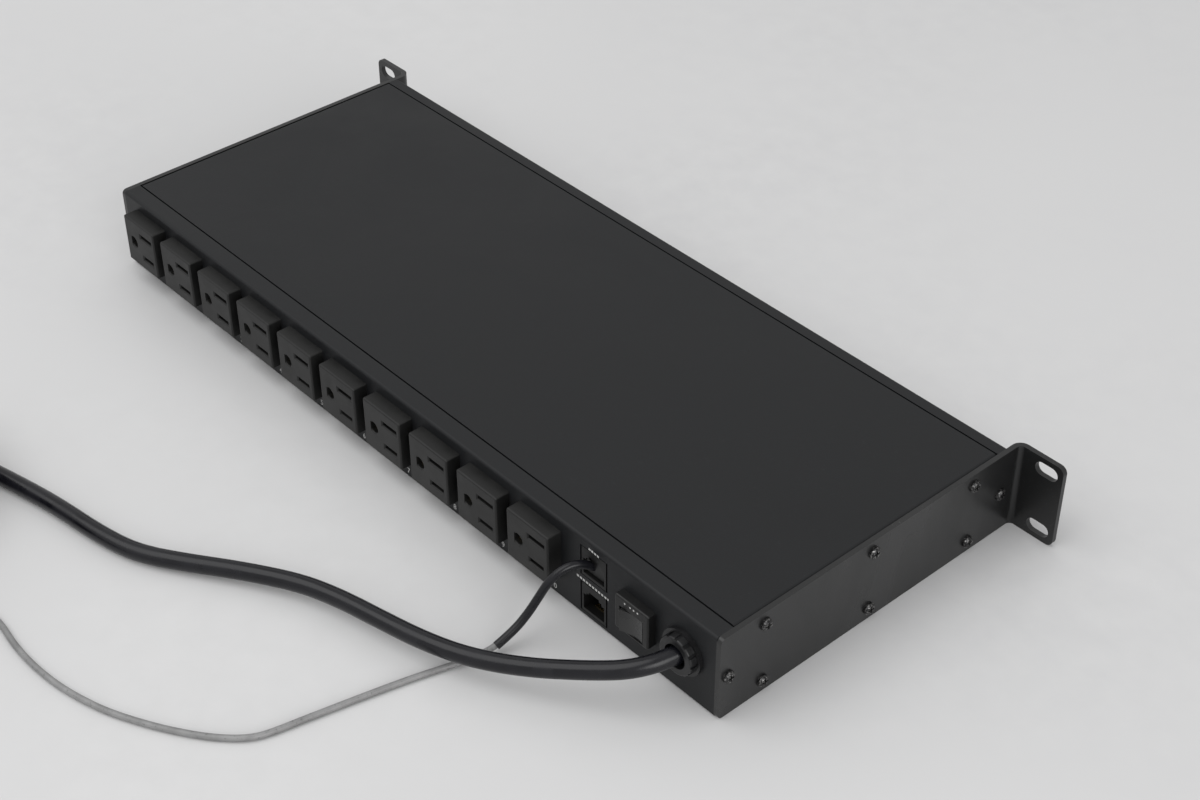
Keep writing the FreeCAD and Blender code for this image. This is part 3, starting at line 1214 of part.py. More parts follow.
FEED_WIRES = {
    "line_feed": [
        ("terminal_0", 0, 0, 0), ("terminal_0", 0, -10, 0.1), ("terminal_0", 1.5, -20, 1.0),
        ("line_bar", -2.8, 7, -0.4), ("line_bar", -2.4, 0, 0)],
    "neutral_feed": [
        ("terminal_1", 0, 0, 0), ("terminal_1", 0, -9, 0.4), ("terminal_1", -0.2, -18, 4.2),
        ("neutral_bar", 3.4, 9.5, -3.4), ("neutral_bar", 3.0, 0, 0)],
    "switched_line": [
        ("switched_spade", 0, 0, 0), ("switched_spade", -0.2, 8, 0), ("switched_spade", -4, 15, 0.4),
        ("switched_spade", -13, 19, 0.6), ("switched_spade", -24, 21, 0), ("terminal_2", 8, -10, 4.6),
        ("terminal_2", 1.6, -6, 1.2), ("terminal_2", 0, 0, 0)],
    "ground_feed": [
        ("ground_bar", 7, 0, 0), ("ground_bar", 7.8, 8, 0.8), ("ground_bar", 14, 16, 3.2),
        ("terminal_3", 5.8, -15.5, 14.3), ("terminal_3", 25.8, -12.5, 13.1),
        ("ground_nut", -20.8, -10, 17.3),
        ("ground_nut", -11, -0.5, 5.4), ("ground_nut", -8, 2.7, 1.4), ("ground_nut", -3.9, 3.46, 0)],
}
JACK_LEAD = [
    ("jack_board", 0, 0, 0), ("jack_board", 0, 9, -0.3), ("jack_board", 0.2, 18, -1.3),
    ("jack_board", 0, 28, -1.8), ("jack_board", -0.2, 38.4, -3.0), ("jack_board", -0.6, 46.4, -6.9),
    ("jack_board", -0.8, 50.9, -11.1),
]


def wire_anchors():
    """Where the inner wires end and what their points are measured from."""
    panel = -size("case_depth") / 2
    spade_end = panel + size("switch_neck_reach") + size("spade_reach")
    bar_x = size("first_outlet_place") + (OUTLETS - 1) * size("outlet_pitch")
    bar_y = panel + size("outlet_neck_reach") + size("tail_reach") + size("bus_gauge")
    board_top = size("sheet_gauge") + size("board_stud_tall") + size("board_gauge")
    nut_side = size("ground_nut_radius") * math.cos(math.pi / 6)
    anchors = {
        "gland": (size("gland_place"), panel, size("gland_level")),
        "cord_end": (size("gland_place"), panel - size("cord_seat"), size("gland_level")),
        "live_spade": (size("switch_place") + size("spade_side"), spade_end, size("switch_level")),
        "switched_spade": (size("switch_place") - size("spade_side"), spade_end, size("switch_level")),
        "line_bar": (bar_x, bar_y, size("outlet_level") - size("blade_rise")),
        "neutral_bar": (bar_x, bar_y, size("outlet_level") + size("blade_rise")),
        "ground_bar": (bar_x, bar_y, size("outlet_level")),
        "ground_nut": (size("ground_stud_place"), size("ground_stud_depth_place") - nut_side,
                       size("sheet_gauge") + size("ground_washer_gauge") + size("ground_nut_gauge") / 2),
        "jack_board": (size("jack_place"), panel + size("jack_reach") + size("board_gauge"),
                       (size("upper_jack_level") + size("lower_jack_level")) / 2),
    }
    for k in range(BLOCK_TERMINALS):
        anchors[f"terminal_{k}"] = (
            size("board_place") + size("block_place")
            + (k - (BLOCK_TERMINALS - 1) / 2) * size("block_width") / BLOCK_TERMINALS,
            size("board_depth_place") - size("board_depth") / 2 + size("board_play"),
            board_top + size("block_tall") / 2 - 1)
    return anchors


def make_wires():
    """Wires from the cord to the switch, the board and the ground stud, and on to the bus bars."""
    anchors = wire_anchors()

    def wire(name, route, alias):
        points = [tuple(a + b for a, b in zip(anchors[anchor], offset)) for anchor, *offset in route]
        return make_tube(name, points, size(alias))

    for node, routes in (("inlet_wires", INLET_WIRES), ("feed_wires", FEED_WIRES)):
        made = [wire(name, route, "wire_radius") for name, route in routes.items()]
        keep(group(node + "_group", made), node)
    keep(wire("jack_lead_tube", JACK_LEAD, "lead_radius"), "jack_lead")


make_wires()


# ---------------------------------------------------------------- checks and export

doc.recompute()
for thing in doc.Objects:
    if any(state in thing.State for state in ("Invalid", "Error")):
        raise RuntimeError(f"{thing.Label} failed: {thing.State}")
for made in nodes:
    if made.Shape.isNull() or not made.Shape.isValid():
        raise RuntimeError(f"{made.Label} has no valid shape")
os.makedirs("parts", exist_ok=True)
for made in nodes:
    made.Shape.exportStep(f"parts/{made.Label}.step")
print(f"{len(nodes)} nodes, {sum(len(made.Shape.Solids) for made in nodes)} solids")
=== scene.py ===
import math

import bmesh
import bpy
from mathutils import Matrix, Vector


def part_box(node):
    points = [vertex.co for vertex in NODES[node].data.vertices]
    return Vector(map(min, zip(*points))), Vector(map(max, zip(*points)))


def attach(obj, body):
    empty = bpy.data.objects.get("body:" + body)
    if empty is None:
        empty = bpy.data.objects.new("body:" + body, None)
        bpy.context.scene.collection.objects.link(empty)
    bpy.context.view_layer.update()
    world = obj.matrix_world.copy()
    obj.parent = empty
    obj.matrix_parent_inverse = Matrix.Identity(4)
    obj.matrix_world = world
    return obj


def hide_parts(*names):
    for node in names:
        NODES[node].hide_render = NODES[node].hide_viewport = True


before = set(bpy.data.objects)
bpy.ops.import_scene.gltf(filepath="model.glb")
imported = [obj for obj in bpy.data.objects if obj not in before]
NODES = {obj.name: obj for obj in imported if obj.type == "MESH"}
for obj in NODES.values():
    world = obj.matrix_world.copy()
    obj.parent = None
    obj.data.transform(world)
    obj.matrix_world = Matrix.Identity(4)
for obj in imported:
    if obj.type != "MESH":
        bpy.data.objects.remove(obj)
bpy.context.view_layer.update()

MM = 0.001
CASE = "case"


def middle_x(node):
    low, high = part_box(node)
    return (low.x + high.x) / 2


PANEL_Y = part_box("outlet_panel")[0].y
GLAND_X = middle_x("cord_gland")
JACK_X = middle_x("upper_jack")


# ---------------------------------------------------------------- camera, floor and light

# The camera's angles in degrees, its lens in millimetres and its place in metres, where
# CAMERA_AHEAD is measured from the outlet panel's face.
AZIMUTH, ELEVATION, ROLL = 48.4212, 37.9816, -0.1428
LENS, SENSOR = 62.633, 36.0
CAMERA_X, CAMERA_AHEAD, CAMERA_Z = 0.61793, 0.41715, 0.61169
SKY_STRENGTH = 0.69
TABLE_HALF = 8.0
TABLE_GAP = 0.0002


def add_to_scene(made):
    bpy.context.scene.collection.objects.link(made)
    return made


def make_camera():
    """The photograph's view: from the front right, a little under 40 degrees up."""
    azimuth, elevation, roll = (math.radians(a) for a in (AZIMUTH, ELEVATION, ROLL))
    back = Vector((math.sin(azimuth) * math.cos(elevation),
                   -math.cos(azimuth) * math.cos(elevation), math.sin(elevation)))
    right = (-back).cross(Vector((0, 0, 1))).normalized()
    up = right.cross(-back)
    right, up = (right * math.cos(roll) + up * math.sin(roll),
                 up * math.cos(roll) - right * math.sin(roll))
    data = bpy.data.cameras.new("camera")
    data.sensor_width = SENSOR
    data.lens = LENS
    data.clip_start, data.clip_end = 0.01, 50
    camera = add_to_scene(bpy.data.objects.new("camera", data))
    place = Matrix.Translation((CAMERA_X, PANEL_Y - CAMERA_AHEAD, CAMERA_Z))
    camera.matrix_world = place @ Matrix((right, up, back)).transposed().to_4x4()
    bpy.context.scene.camera = camera


def add_light(name, size, energy, position, target=(0, 0, 0)):
    data = bpy.data.lights.new(name, "AREA")
    data.shape = "DISK"
    data.size = size
    data.energy = energy
    lamp = add_to_scene(bpy.data.objects.new(name, data))
    lamp.location = position
    lamp.rotation_mode = "QUATERNION"
    lamp.rotation_quaternion = (Vector(target) - Vector(position)).to_track_quat("-Z", "Y")


def make_surroundings():
    """A pale table under a soft, even light from above and from the outlets' side."""
    world = bpy.data.worlds.new("studio")
    bpy.context.scene.world = world
    world.use_nodes = True
    sky = world.node_tree.nodes["Background"]
    sky.inputs["Color"].default_value = (1.0, 1.0, 1.0, 1)
    sky.inputs["Strength"].default_value = SKY_STRENGTH
    add_light("overhead", size=2.4, energy=22, position=(-0.46, -1.0, 2.0))
    add_light("side_fill", size=1.9, energy=29, position=(2.6, -0.76, 1.2))

    mesh = bpy.data.meshes.new("table")
    corners = [(-TABLE_HALF, -TABLE_HALF, 0), (TABLE_HALF, -TABLE_HALF, 0),
               (TABLE_HALF, TABLE_HALF, 0), (-TABLE_HALF, TABLE_HALF, 0)]
    mesh.from_pydata(corners, [], [(0, 1, 2, 3)])
    table = add_to_scene(bpy.data.objects.new("table", mesh))
    table.location.z = -TABLE_GAP
    mesh.materials.append(table_material())
    bpy.context.scene.view_settings.view_transform = "Standard"


# ---------------------------------------------------------------- material building


class Surface:
    """A procedural material: a Principled shader and the nodes that feed it."""

    def __init__(self, name, colour, roughness, metallic=0.0, specular=0.5):
        self.material = bpy.data.materials.new(name)
        self.material.use_nodes = True
        self.tree = self.material.node_tree
        self.shader = self.tree.nodes["Principled BSDF"]
        self.shader.inputs["Base Color"].default_value = (*colour, 1)
        self.shader.inputs["Roughness"].default_value = roughness
        self.shader.inputs["Metallic"].default_value = metallic
        self.shader.inputs["Specular IOR Level"].default_value = specular
        self.coordinates = self.add("ShaderNodeTexCoord").outputs["Object"]
        self.height = None

    def add(self, kind, **settings):
        node = self.tree.nodes.new(kind)
        for key, value in settings.items():
            setattr(node, key, value)
        return node

    def link(self, source, target):
        self.tree.links.new(source, target)

    def stretched(self, scale, turn=(0, 0, 0)):
        """Object coordinates, scaled by axis and turned."""
        node = self.add("ShaderNodeMapping")
        node.inputs["Scale"].default_value = scale
        node.inputs["Rotation"].default_value = turn
        self.link(self.coordinates, node.inputs["Vector"])
        return node.outputs["Vector"]

    def noise(self, scale, detail=3.0, rough=0.55, vector=None, distortion=0.0):
        """Noise from about 0.3 to 0.7; scale is in features a metre."""
        node = self.add("ShaderNodeTexNoise")
        node.inputs["Scale"].default_value = scale
        node.inputs["Detail"].default_value = detail
        node.inputs["Roughness"].default_value = rough
        node.inputs["Distortion"].default_value = distortion
        self.link(vector or self.coordinates, node.inputs["Vector"])
        return node.outputs["Fac"]

    def ranged(self, value, low, high, to_low, to_high):
        """A value from low to high, taken to the range from to_low to to_high and held there."""
        node = self.add("ShaderNodeMapRange")
        for key, number in (("From Min", low), ("From Max", high),
                            ("To Min", to_low), ("To Max", to_high)):
            node.inputs[key].default_value = number
        self.link(value, node.inputs["Value"])
        return node.outputs["Result"]

    def blend(self, factor, first, second):
        """Two colours, or colour sockets, mixed by a factor."""
        node = self.add("ShaderNodeMix", data_type="RGBA")
        self.link(factor, node.inputs["Factor"])
        sockets = [s for s in node.inputs if s.type == "RGBA"]
        for socket, colour in zip(sockets, (first, second)):
            if isinstance(colour, tuple):
                socket.default_value = (*colour, 1)
            else:
                self.link(colour, socket)
        return next(s for s in node.outputs if s.type == "RGBA")

    def paint(self, colour):
        self.link(colour, self.shader.inputs["Base Color"])

    def polish(self, value):
        self.link(value, self.shader.inputs["Roughness"])

    def bump(self, value, depth):
        """Adds relief: depth is in metres for a value from 0 to 1."""
        node = self.add("ShaderNodeBump")
        node.inputs["Distance"].default_value = depth
        node.inputs["Strength"].default_value = 1.0
        self.link(value, node.inputs["Height"])
        if self.height is not None:
            self.link(self.height, node.inputs["Normal"])
        self.height = node.outputs["Normal"]
        self.link(self.height, self.shader.inputs["Normal"])


def grey(level):
    return (level, level, level)


def dusty(colour, gain, lift):
    """A colour with dust or scuffs on it."""
    return tuple(min(1.0, c * gain + lift) for c in colour)


def table_material():
    made = Surface("table_laminate", (0.60, 0.60, 0.605), 0.45, specular=0.3)
    tint = made.ranged(made.noise(2.2, 2), 0.35, 0.65, 0, 1)
    fine = made.ranged(made.noise(60, 4), 0.3, 0.7, 0, 1)
    shade = made.blend(tint, (0.575, 0.575, 0.58), (0.63, 0.63, 0.632))
    made.paint(made.blend(fine, shade, (0.61, 0.61, 0.612)))
    return made.material


def powder_coat(name, dark, light, gloss, peel=0.00002):
    """Black powder coat: fine orange peel, cloudy gloss, a little dust."""
    made = Surface(name, dark, gloss, specular=0.32)
    cloud = made.ranged(made.noise(14, 4, distortion=0.6), 0.34, 0.66, 0, 1)
    grain = made.ranged(made.noise(1900, 2), 0.3, 0.7, 0, 1)
    dust = made.ranged(made.noise(420, 5, rough=0.75), 0.60, 0.82, 0, 0.55)
    base = made.blend(cloud, dark, light)
    made.paint(made.blend(dust, base, dusty(light, 2.2, 0.008)))
    made.polish(made.ranged(cloud, 0, 1, gloss - 0.05, gloss + 0.07))
    made.bump(grain, peel)
    made.bump(made.noise(260, 3), peel * 1.6)
    return made.material


def rolled_plate(name, dark, light, gloss):
    """The end plates' paint: thinner and shinier, with streaks that are glossier and painted
    lighter, a painted sheen.
    """
    made = Surface(name, dark, gloss, specular=0.48)
    along = made.stretched((1, 2.2, 0.5), (0.6, 0, 0))
    sheen_streak_noise = made.noise(9, 4, vector=along, distortion=1.2)
    glossy_painted_sheen = made.ranged(sheen_streak_noise, 0.34, 0.66, 0, 1)
    specks = made.ranged(made.noise(900, 3), 0.62, 0.8, 0, 0.6)
    # The streaks' lighter colour is painted sheen; the streaks are also less rough.
    base = made.blend(glossy_painted_sheen, dark, light)
    made.paint(made.blend(specks, base, grey(0.05)))
    made.polish(made.ranged(glossy_painted_sheen, 0, 1, gloss + 0.08, gloss - 0.05))
    made.bump(made.noise(1500, 2), 0.000016)
    return made.material


def moulded(name, dark, light, gloss, grain=700, depth=0.00001, specular=0.5):
    """Moulded plastic: a faint texture, cloudy gloss and a few scuffs."""
    made = Surface(name, dark, gloss, specular=specular)
    cloud = made.ranged(made.noise(90, 3), 0.35, 0.65, 0, 1)
    rubbed = made.noise(520, 5, rough=0.7, vector=made.stretched((1, 1, 2.5)))
    scuff = made.ranged(rubbed, 0.62, 0.78, 0, 0.4)
    base = made.blend(cloud, dark, light)
    made.paint(made.blend(scuff, base, dusty(light, 1.8, 0.01)))
    made.polish(made.ranged(cloud, 0, 1, gloss, gloss + 0.1))
    made.bump(made.noise(grain, 2), depth)
    return made.material


def rubber(name, dark, light, gloss, specular=0.4):
    """A cord's jacket: fine unevenness and rubbed, dusty patches."""
    made = Surface(name, dark, gloss, specular=specular)
    rub = made.ranged(made.noise(70, 4, distortion=0.8), 0.38, 0.68, 0, 1)
    dust = made.ranged(made.noise(800, 4, rough=0.8), 0.64, 0.8, 0, 0.4)
    base = made.blend(rub, dark, light)
    made.paint(made.blend(dust, base, (0.04, 0.04, 0.046)))
    made.polish(made.ranged(rub, 0, 1, gloss, gloss + 0.14))
    made.bump(made.noise(240, 3), 0.00006)
    made.bump(made.noise(2200, 2), 0.00001)
    return made.material


def metal(name, dark, light, gloss, brushed=(1, 1, 1), depth=0.000006):
    """Bare metal with fine lines; brushed gives their closeness by axis."""
    made = Surface(name, dark, gloss, metallic=1.0)
    tone = made.ranged(made.noise(160, 4), 0.35, 0.65, 0, 1)
    lines = made.noise(1800, 2, vector=made.stretched(brushed))
    made.paint(made.blend(tone, dark, light))
    made.polish(made.ranged(lines, 0.3, 0.7, gloss - 0.06, gloss + 0.1))
    made.bump(lines, depth)
    return made.material


def blackened_steel(name):
    """The case screws' black oxide, worn bright in places."""
    made = Surface(name, (0.02, 0.02, 0.021), 0.3, metallic=0.75)
    worn = made.ranged(made.noise(1300, 4), 0.50, 0.68, 0, 1)
    made.paint(made.blend(worn, (0.024, 0.024, 0.025), (0.24, 0.235, 0.23)))
    made.polish(made.ranged(worn, 0, 1, 0.34, 0.24))
    made.bump(made.noise(2600, 2), 0.000012)
    return made.material


def circuit_board(name):
    """Green solder mask with copper lines under it."""
    made = Surface(name, (0.02, 0.12, 0.05), 0.32)
    brick = made.add("ShaderNodeTexBrick")
    brick.inputs["Scale"].default_value = 160
    brick.inputs["Mortar Size"].default_value = 0.016
    made.link(made.coordinates, brick.inputs["Vector"])
    lines = made.ranged(brick.outputs["Fac"], 0, 1, 0, 0.8)
    tone = made.ranged(made.noise(40, 3), 0.4, 0.6, 0, 1)
    base = made.blend(tone, (0.014, 0.10, 0.035), (0.02, 0.135, 0.05))
    made.paint(made.blend(lines, base, (0.05, 0.24, 0.09)))
    made.bump(lines, 0.00002)
    return made.material


def laminations(name):
    """The transformer's stacked sheets."""
    made = Surface(name, (0.16, 0.15, 0.14), 0.45, metallic=0.6)
    wave = made.add("ShaderNodeTexWave", bands_direction="Z")
    wave.inputs["Scale"].default_value = 320
    made.link(made.coordinates, wave.inputs["Vector"])
    made.paint(made.blend(wave.outputs["Fac"], (0.05, 0.045, 0.04), (0.2, 0.19, 0.18)))
    made.bump(wave.outputs["Fac"], 0.00005)
    return made.material


def grey_jacket(name):
    """A pale grey cable's jacket, soiled, with faint dark flecks along it."""
    made = Surface(name, (0.3, 0.3, 0.305), 0.42)
    soil = made.ranged(made.noise(120, 4), 0.36, 0.64, 0, 1)
    flecks = made.ranged(made.noise(900, 2), 0.60, 0.70, 0, 0.6)
    base = made.blend(soil, grey(0.19), grey(0.26))
    made.paint(made.blend(flecks, base, grey(0.09)))
    made.bump(made.noise(500, 2), 0.00003)
    return made.material


def ink(name, colour):
    """Printing ink, thin in places."""
    made = Surface(name, colour, 0.6)
    worn = made.ranged(made.noise(2600, 3), 0.4, 0.62, 0, 1)
    made.paint(made.blend(worn, colour, tuple(c * 0.62 for c in colour)))
    return made.material


PAINT = powder_coat("case_paint", (0.0042, 0.0047, 0.0056), (0.0068, 0.0074, 0.0085), 0.48)
PLATE_PAINT = rolled_plate("plate_paint", (0.006, 0.0062, 0.0064), (0.013, 0.0131, 0.0133), 0.30)
OUTLET = moulded("outlet_plastic", (0.0046, 0.0047, 0.0045), (0.0078, 0.0078, 0.0075), 0.46,
                 grain=900, depth=0.000016, specular=0.42)
SWITCH = moulded("switch_plastic", grey(0.0045), grey(0.008), 0.36, specular=0.4)
# The rocker: the switch's black plastic painted about twice as light, a painted highlight for the
# light on its tilted face.
ROCKER_PAINTED_HIGHLIGHT = moulded("rocker_plastic_painted_highlight", grey(0.010), grey(0.016), 0.24, specular=0.6)
JACK = moulded("jack_plastic", grey(0.004), grey(0.0065), 0.42, specular=0.34)
GLAND = moulded("gland_plastic", (0.006, 0.006, 0.0065), (0.011, 0.011, 0.0118), 0.3,
                grain=500, depth=0.00002, specular=0.42)
CORD = rubber("cord_rubber", (0.0044, 0.0045, 0.0064), (0.0084, 0.0085, 0.0112), 0.2, 0.36)
SLEEVE = rubber("sleeve_rubber", (0.004, 0.004, 0.0058), (0.0075, 0.0075, 0.0098), 0.22, 0.34)
CABLE = grey_jacket("cable_jacket")
SCREW = blackened_steel("black_screws")
BRASS = metal("contact_brass", (0.62, 0.46, 0.20), (0.76, 0.58, 0.28), 0.3, brushed=(6, 1, 1))
GOLD = metal("gold_contacts", (0.80, 0.60, 0.24), (0.9, 0.7, 0.32), 0.2)
ZINC = metal("zinc_steel", grey(0.5), (0.68, 0.67, 0.64), 0.34, brushed=(1, 1, 5))
NICKEL = metal("plug_metal", (0.6, 0.59, 0.56), (0.72, 0.71, 0.68), 0.24, brushed=(1, 4, 1))
BOARD = circuit_board("circuit_board")
CORE = laminations("transformer_core")
RELAY = moulded("relay_case", (0.02, 0.02, 0.022), (0.03, 0.03, 0.033), 0.4)
EPOXY = moulded("suppressor_epoxy", (0.02, 0.09, 0.32), (0.03, 0.12, 0.4), 0.3)
TERMINAL = moulded("terminal_plastic", (0.03, 0.22, 0.08), (0.05, 0.3, 0.12), 0.4)
WIRE_DARK = rubber("wire_black", grey(0.012), grey(0.02), 0.4)
WIRE_PALE = moulded("wire_white", (0.6, 0.6, 0.58), (0.72, 0.72, 0.7), 0.4)
WIRE_GREY = moulded("wire_grey", (0.25, 0.25, 0.26), (0.33, 0.33, 0.34), 0.42)
WHITE_INK = ink("white_ink", (0.62, 0.62, 0.61))

FINISHES = {
    PAINT: ["outlet_panel", "front_panel", "top_cover", "bottom_cover"],
    PLATE_PAINT: ["right_end_plate", "left_end_plate"],
    SCREW: ["right_end_screws", "left_end_screws"],
    OUTLET: [n for n in NODES if n.startswith("outlet_") and n != "outlet_panel"],
    BRASS: ["line_contacts", "neutral_contacts", "ground_contacts", "line_bus_bar",
            "neutral_bus_bar", "ground_bus_bar", "switch_terminals"],
    GOLD: ["jack_contacts"],
    ZINC: ["jack_board_studs", "jack_board_screws", "board_studs", "board_screws",
           "switch_pivot_pin", "cord_gland_nut", "ground_stud", "ground_nut"],
    JACK: ["upper_jack", "lower_jack"],
    SWITCH: ["switch_housing", "control_plug", "control_cable_end_plug"],
    ROCKER_PAINTED_HIGHLIGHT: ["switch_rocker"],
    GLAND: ["cord_gland"],
    NICKEL: ["power_plug_blades", "power_plug_ground_pin"],
    BOARD: ["jack_board", "control_board"],
    CORE: ["supply_transformer"],
    RELAY: ["power_relays"],
    EPOXY: ["surge_suppressors"],
    TERMINAL: ["terminal_block"],
    WIRE_DARK: ["inlet_wires"],
    WIRE_PALE: ["feed_wires"],
    WIRE_GREY: ["jack_lead"],
    CORD: ["power_plug"],
}


def finish_nodes():
    """Gives each CAD node that stays its own material."""
    for material, names in FINISHES.items():
        for name in names:
            slots = NODES[name].material_slots
            if not slots:
                NODES[name].data.materials.append(material)
            for slot in slots:
                slot.material = material


# ---------------------------------------------------------------- cords

# Half of each cord's thickness, and each coil's mean radius, in millimetres.
POWER_RADIUS, SLEEVE_RADIUS, CABLE_RADIUS = 4.1, 1.9, 1.4
POWER_COIL_RADIUS, CABLE_COIL_RADIUS = 49.0, 16.5

# The power cord's route, from the gland's middle and the panel's face, in millimetres.
POWER_ROUTE = [
    (0.0, -0.6, 24.0), (-1.7, -8.7, 23.2), (-5.2, -16.2, 22.1), (-10.4, -22.7, 20.5),
    (-17.6, -28.5, 18.6), (-27.6, -36.0, 16.5), (-39.6, -44.6, 14.4), (-54.0, -53.4, 12.5),
    (-69.5, -60.7, 11.1), (-88.0, -66.4, 10.0), (-108.5, -70.7, 9.0), (-129.5, -74.9, 8.0),
    (-149.5, -81.1, 7.0), (-173.5, -94.8, 5.9), (-195.5, -109.8, 4.9), (-214.8, -121.4, 4.1),
    (-236.0, -127.1, 4.1), (-268.0, -131.7, 4.1), (-300.0, -139.3, 4.1), (-322.0, -145.6, 4.1),
    (-345.0, -150.4, 4.1),
]
POWER_COIL = (-332.2, -201.9)
POWER_TAIL = [
    (-379.6, -237.6, 25.9), (-371.8, -249.1, 21.6), (-358.4, -258.2, 17.2),
    (-343.1, -263.7, 14.0), (-329.9, -266.7, 12.4), (-313.0, -267.2, 12.0),
]
# The control cable's route, from the jacks' middle and the panel's face.
SLEEVE_ROUTE = [
    (-1.8, 3.0, 28.6), (-2.7, -0.9, 31.6), (-4.2, -4.9, 33.5), (-5.8, -9.0, 33.4),
    (-7.3, -13.0, 31.6), (-9.1, -17.4, 26.9), (-10.5, -21.2, 20.4), (-11.5, -26.5, 13.6),
    (-12.5, -33.4, 7.8), (-13.8, -41.5, 3.8),
]
CABLE_ROUTE = [
    (-15.8, -50.0, 2.1), (-19.2, -60.6, 1.4), (-24.4, -78.0, 1.4), (-29.0, -97.2, 1.4),
    (-32.2, -111.6, 1.4), (-35.2, -125.0, 1.4), (-37.2, -134.8, 1.4), (-39.6, -142.8, 1.4),
    (-44.6, -149.6, 1.4), (-53.6, -158.0, 1.4), (-69.6, -168.8, 1.4), (-89.8, -179.1, 1.4),
    (-105.8, -184.1, 1.4), (-119.4, -187.0, 1.4), (-135.6, -188.4, 1.4), (-150.2, -188.0, 1.4),
    (-165.3, -185.8, 1.4), (-178.4, -187.4, 1.4), (-189.2, -195.2, 1.4), (-197.4, -206.8, 1.4),
    (-202.6, -218.9, 1.4),
]
CABLE_COIL = (-184.0, -223.9)
CABLE_TAIL = [
    (-205.5, -223.9, 9.0), (-205.6, -229.7, 8.0), (-203.4, -235.9, 6.5), (-199.1, -241.5, 5.0),
    (-193.1, -246.2, 4.0), (-185.6, -249.5, 3.5), (-177.6, -250.6, 3.4),
]

# Degrees that a turn of a coil keeps its place, then moves to the next one, and between points.
STAY, MOVE, STEP = 300, 30, 15


def coil_turns(middle, radius, half, columns, layers, start):
    """Points of a wound coil, from its middle and mean radius and half a cord's thickness.

    It has a turn in each place of a block of columns and layers, starting at the outer bottom one
    and snaking upwards. Each move to the next place comes a little earlier than the last, so that
    no turn crosses another. start is the first point's angle in degrees.
    """
    places = []
    for layer in range(layers):
        order = range(columns) if layer % 2 else reversed(range(columns))
        for column in order:
            across = radius + half * (2 * column - columns + 1)
            places.append((across, half * (2 * layer + 1)))
    points, angle = [], start
    for across, level in places:
        for n in range(STAY // STEP + 1):
            turn = math.radians(angle + n * STEP)
            points.append((middle[0] + across * math.cos(turn),
                           middle[1] + across * math.sin(turn), level))
        angle += STAY + MOVE
    return points


def in_frame(points, anchor):
    """Points in millimetres from the panel's face at the anchor's x, as places in the frame."""
    return [Vector((anchor + x * MM, PANEL_Y + y * MM, z * MM)) for x, y, z in points]


def spline_curve(name, points, radius, material):
    data = bpy.data.curves.new(name, "CURVE")
    data.dimensions = "3D"
    data.bevel_depth = radius
    data.bevel_resolution = 5
    data.use_fill_caps = True
    data.resolution_u = 8
    spline = data.splines.new("NURBS")
    spline.points.add(len(points) - 1)
    for point, place in zip(spline.points, points):
        point.co = (*place, 1)
    spline.order_u = 3
    spline.use_endpoint_u = True
    data.materials.append(material)
    return add_to_scene(bpy.data.objects.new(name, data))


def length_of(curve):
    """The length of a curve's centreline."""
    bare = curve.copy()
    bare.data = curve.data.copy()
    bare.data.bevel_depth = 0
    add_to_scene(bare)
    bpy.context.view_layer.update()
    points = [v.co.copy() for v in bpy.data.meshes.new_from_object(bare).vertices]
    bpy.data.objects.remove(bare)
    return sum((b - a).length for a, b in zip(points, points[1:]))


def make_power_cord():
    turns = coil_turns(POWER_COIL, POWER_COIL_RADIUS, POWER_RADIUS, columns=2, layers=4, start=104)
    route = in_frame(POWER_ROUTE + turns + POWER_TAIL, GLAND_X)
    cord = spline_curve("power_cord_line", route, POWER_RADIUS * MM, CORD)
    length = length_of(cord)
    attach(cord, CASE)
    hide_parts("power_cord", "power_cord_coil", "power_cord_tail")


def make_control_cable():
    turns = coil_turns(CABLE_COIL, CABLE_COIL_RADIUS, CABLE_RADIUS, columns=3, layers=4, start=165)
    route = in_frame(SLEEVE_ROUTE + CABLE_ROUTE + turns + CABLE_TAIL, JACK_X)
    cable = spline_curve("control_cable_line", route, CABLE_RADIUS * MM, CABLE)
    length = length_of(cable)
    sleeve = spline_curve("control_sleeve_line", in_frame(SLEEVE_ROUTE, JACK_X),
                          SLEEVE_RADIUS * MM, SLEEVE)
    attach(cable, CASE)
    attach(sleeve, CASE)
    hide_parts("control_cable", "control_cable_coil", "control_cable_tail")
    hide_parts("control_sleeve")


# ---------------------------------------------------------------- printed marks

INK_DEPTH = 0.00006
OUTLETS = 10
NUMBER_TALL, NUMBER_LEVEL, NUMBER_ASIDE = 0.0042, 0.0042, 0.008

# The marks by the jacks: a line over each jack, as its two ends, from the jacks' middle and the
# floor, and each bar's thickness, its length and the gap to the next.
LOW_LINE, LOW_BAR = ((-0.0106, 0.0204), (0.0091, 0.0195)), (0.0011, 0.0013, 0.0006)
HIGH_LINE, HIGH_BAR = ((-0.0031, 0.0398), (0.0036, 0.0392)), (0.0010, 0.0012, 0.0005)

# The dots on the switch's frame: from its middle and its top edge.
DOT_RADIUS, DOT_SIDES = 0.00045, 16
DOT_PLACES = (-0.0038, -0.0006, 0.0015, 0.0038)
DOT_BELOW_TOP = 0.0019


def lay_mark(made):
    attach(made, CASE)


def print_number(number, place):
    """A plain number, printed on the outlet panel."""
    data = bpy.data.curves.new(f"outlet_number_{number}", "FONT")
    data.body = str(number)
    data.size = NUMBER_TALL
    data.align_x, data.align_y = "CENTER", "CENTER"
    data.extrude = INK_DEPTH / 2
    data.resolution_u = 3
    data.materials.append(WHITE_INK)
    made = add_to_scene(bpy.data.objects.new(data.name, data))
    made.location = place
    made.rotation_euler = (math.pi / 2, 0, 0)
    lay_mark(made)


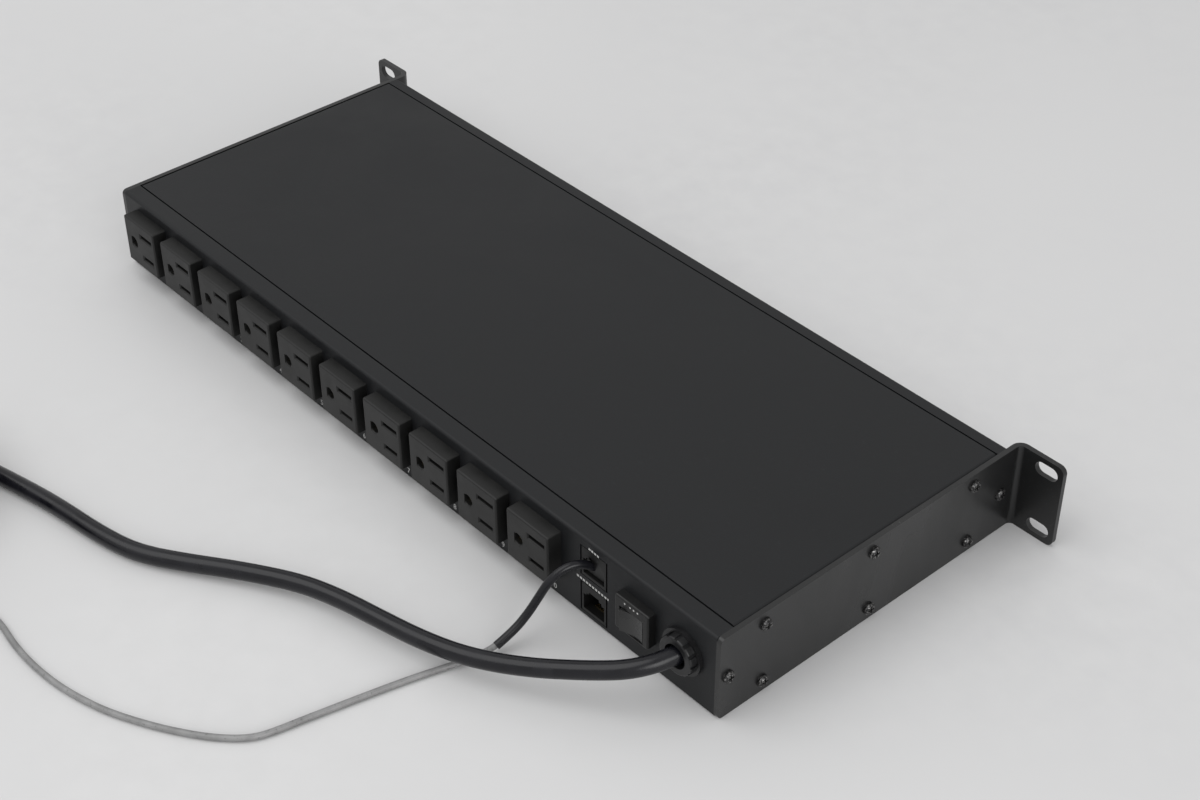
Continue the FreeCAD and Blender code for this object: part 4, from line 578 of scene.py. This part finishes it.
def print_shape(name, outline, face_y):
    """A thin solid of ink, half sunk in an upright face, from an outline of x and z."""
    mesh = bpy.data.meshes.new(name)
    shape = bmesh.new()
    near, far = ([shape.verts.new((x, face_y + side * INK_DEPTH / 2, z)) for x, z in outline]
                 for side in (-1, 1))
    shape.faces.new(near)
    shape.faces.new(list(reversed(far)))
    for k in range(len(outline)):
        j = (k + 1) % len(outline)
        shape.faces.new((near[j], near[k], far[k], far[j]))
    bmesh.ops.recalc_face_normals(shape, faces=shape.faces)
    shape.to_mesh(mesh)
    shape.free()
    mesh.materials.append(WHITE_INK)
    lay_mark(add_to_scene(bpy.data.objects.new(name, mesh)))


def print_dashes(name, line, bar):
    """A row of short bars on the outlet panel, where the real unit has small print."""
    (first, start_z), (last, end_z) = line
    thick, dash, gap = bar
    slope = (end_z - start_z) / (last - first)
    aside, count = first, 0
    while aside < last:
        stop = min(aside + dash, last)
        ends = [(JACK_X + x, start_z + (x - first) * slope) for x in (aside, stop)]
        outline = [(x, z - thick / 2) for x, z in ends]
        outline += [(x, z + thick / 2) for x, z in reversed(ends)]
        print_shape(f"{name}_{count}", outline, PANEL_Y)
        aside = stop + gap
        count += 1


def print_dots():
    """Four dots on the frame of the switch."""
    low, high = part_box("switch_housing")
    z = high.z - DOT_BELOW_TOP
    turns = [math.tau * n / DOT_SIDES for n in range(DOT_SIDES)]
    for k, aside in enumerate(DOT_PLACES):
        x = middle_x("switch_housing") + aside
        outline = [(x + DOT_RADIUS * math.cos(turn), z + DOT_RADIUS * math.sin(turn))
                   for turn in turns]
        print_shape(f"switch_dot_{k}", outline, low.y)


def print_marks():
    for number in range(1, OUTLETS + 1):
        aside = middle_x(f"outlet_{number:02d}") + NUMBER_ASIDE
        print_number(number, (aside, PANEL_Y, NUMBER_LEVEL))
    print_dashes("jack_print_low", LOW_LINE, LOW_BAR)
    print_dashes("jack_print_high", HIGH_LINE, HIGH_BAR)
    print_dots()


# ---------------------------------------------------------------- making


make_camera()
make_surroundings()
finish_nodes()
make_power_cord()
make_control_cable()
print_marks()
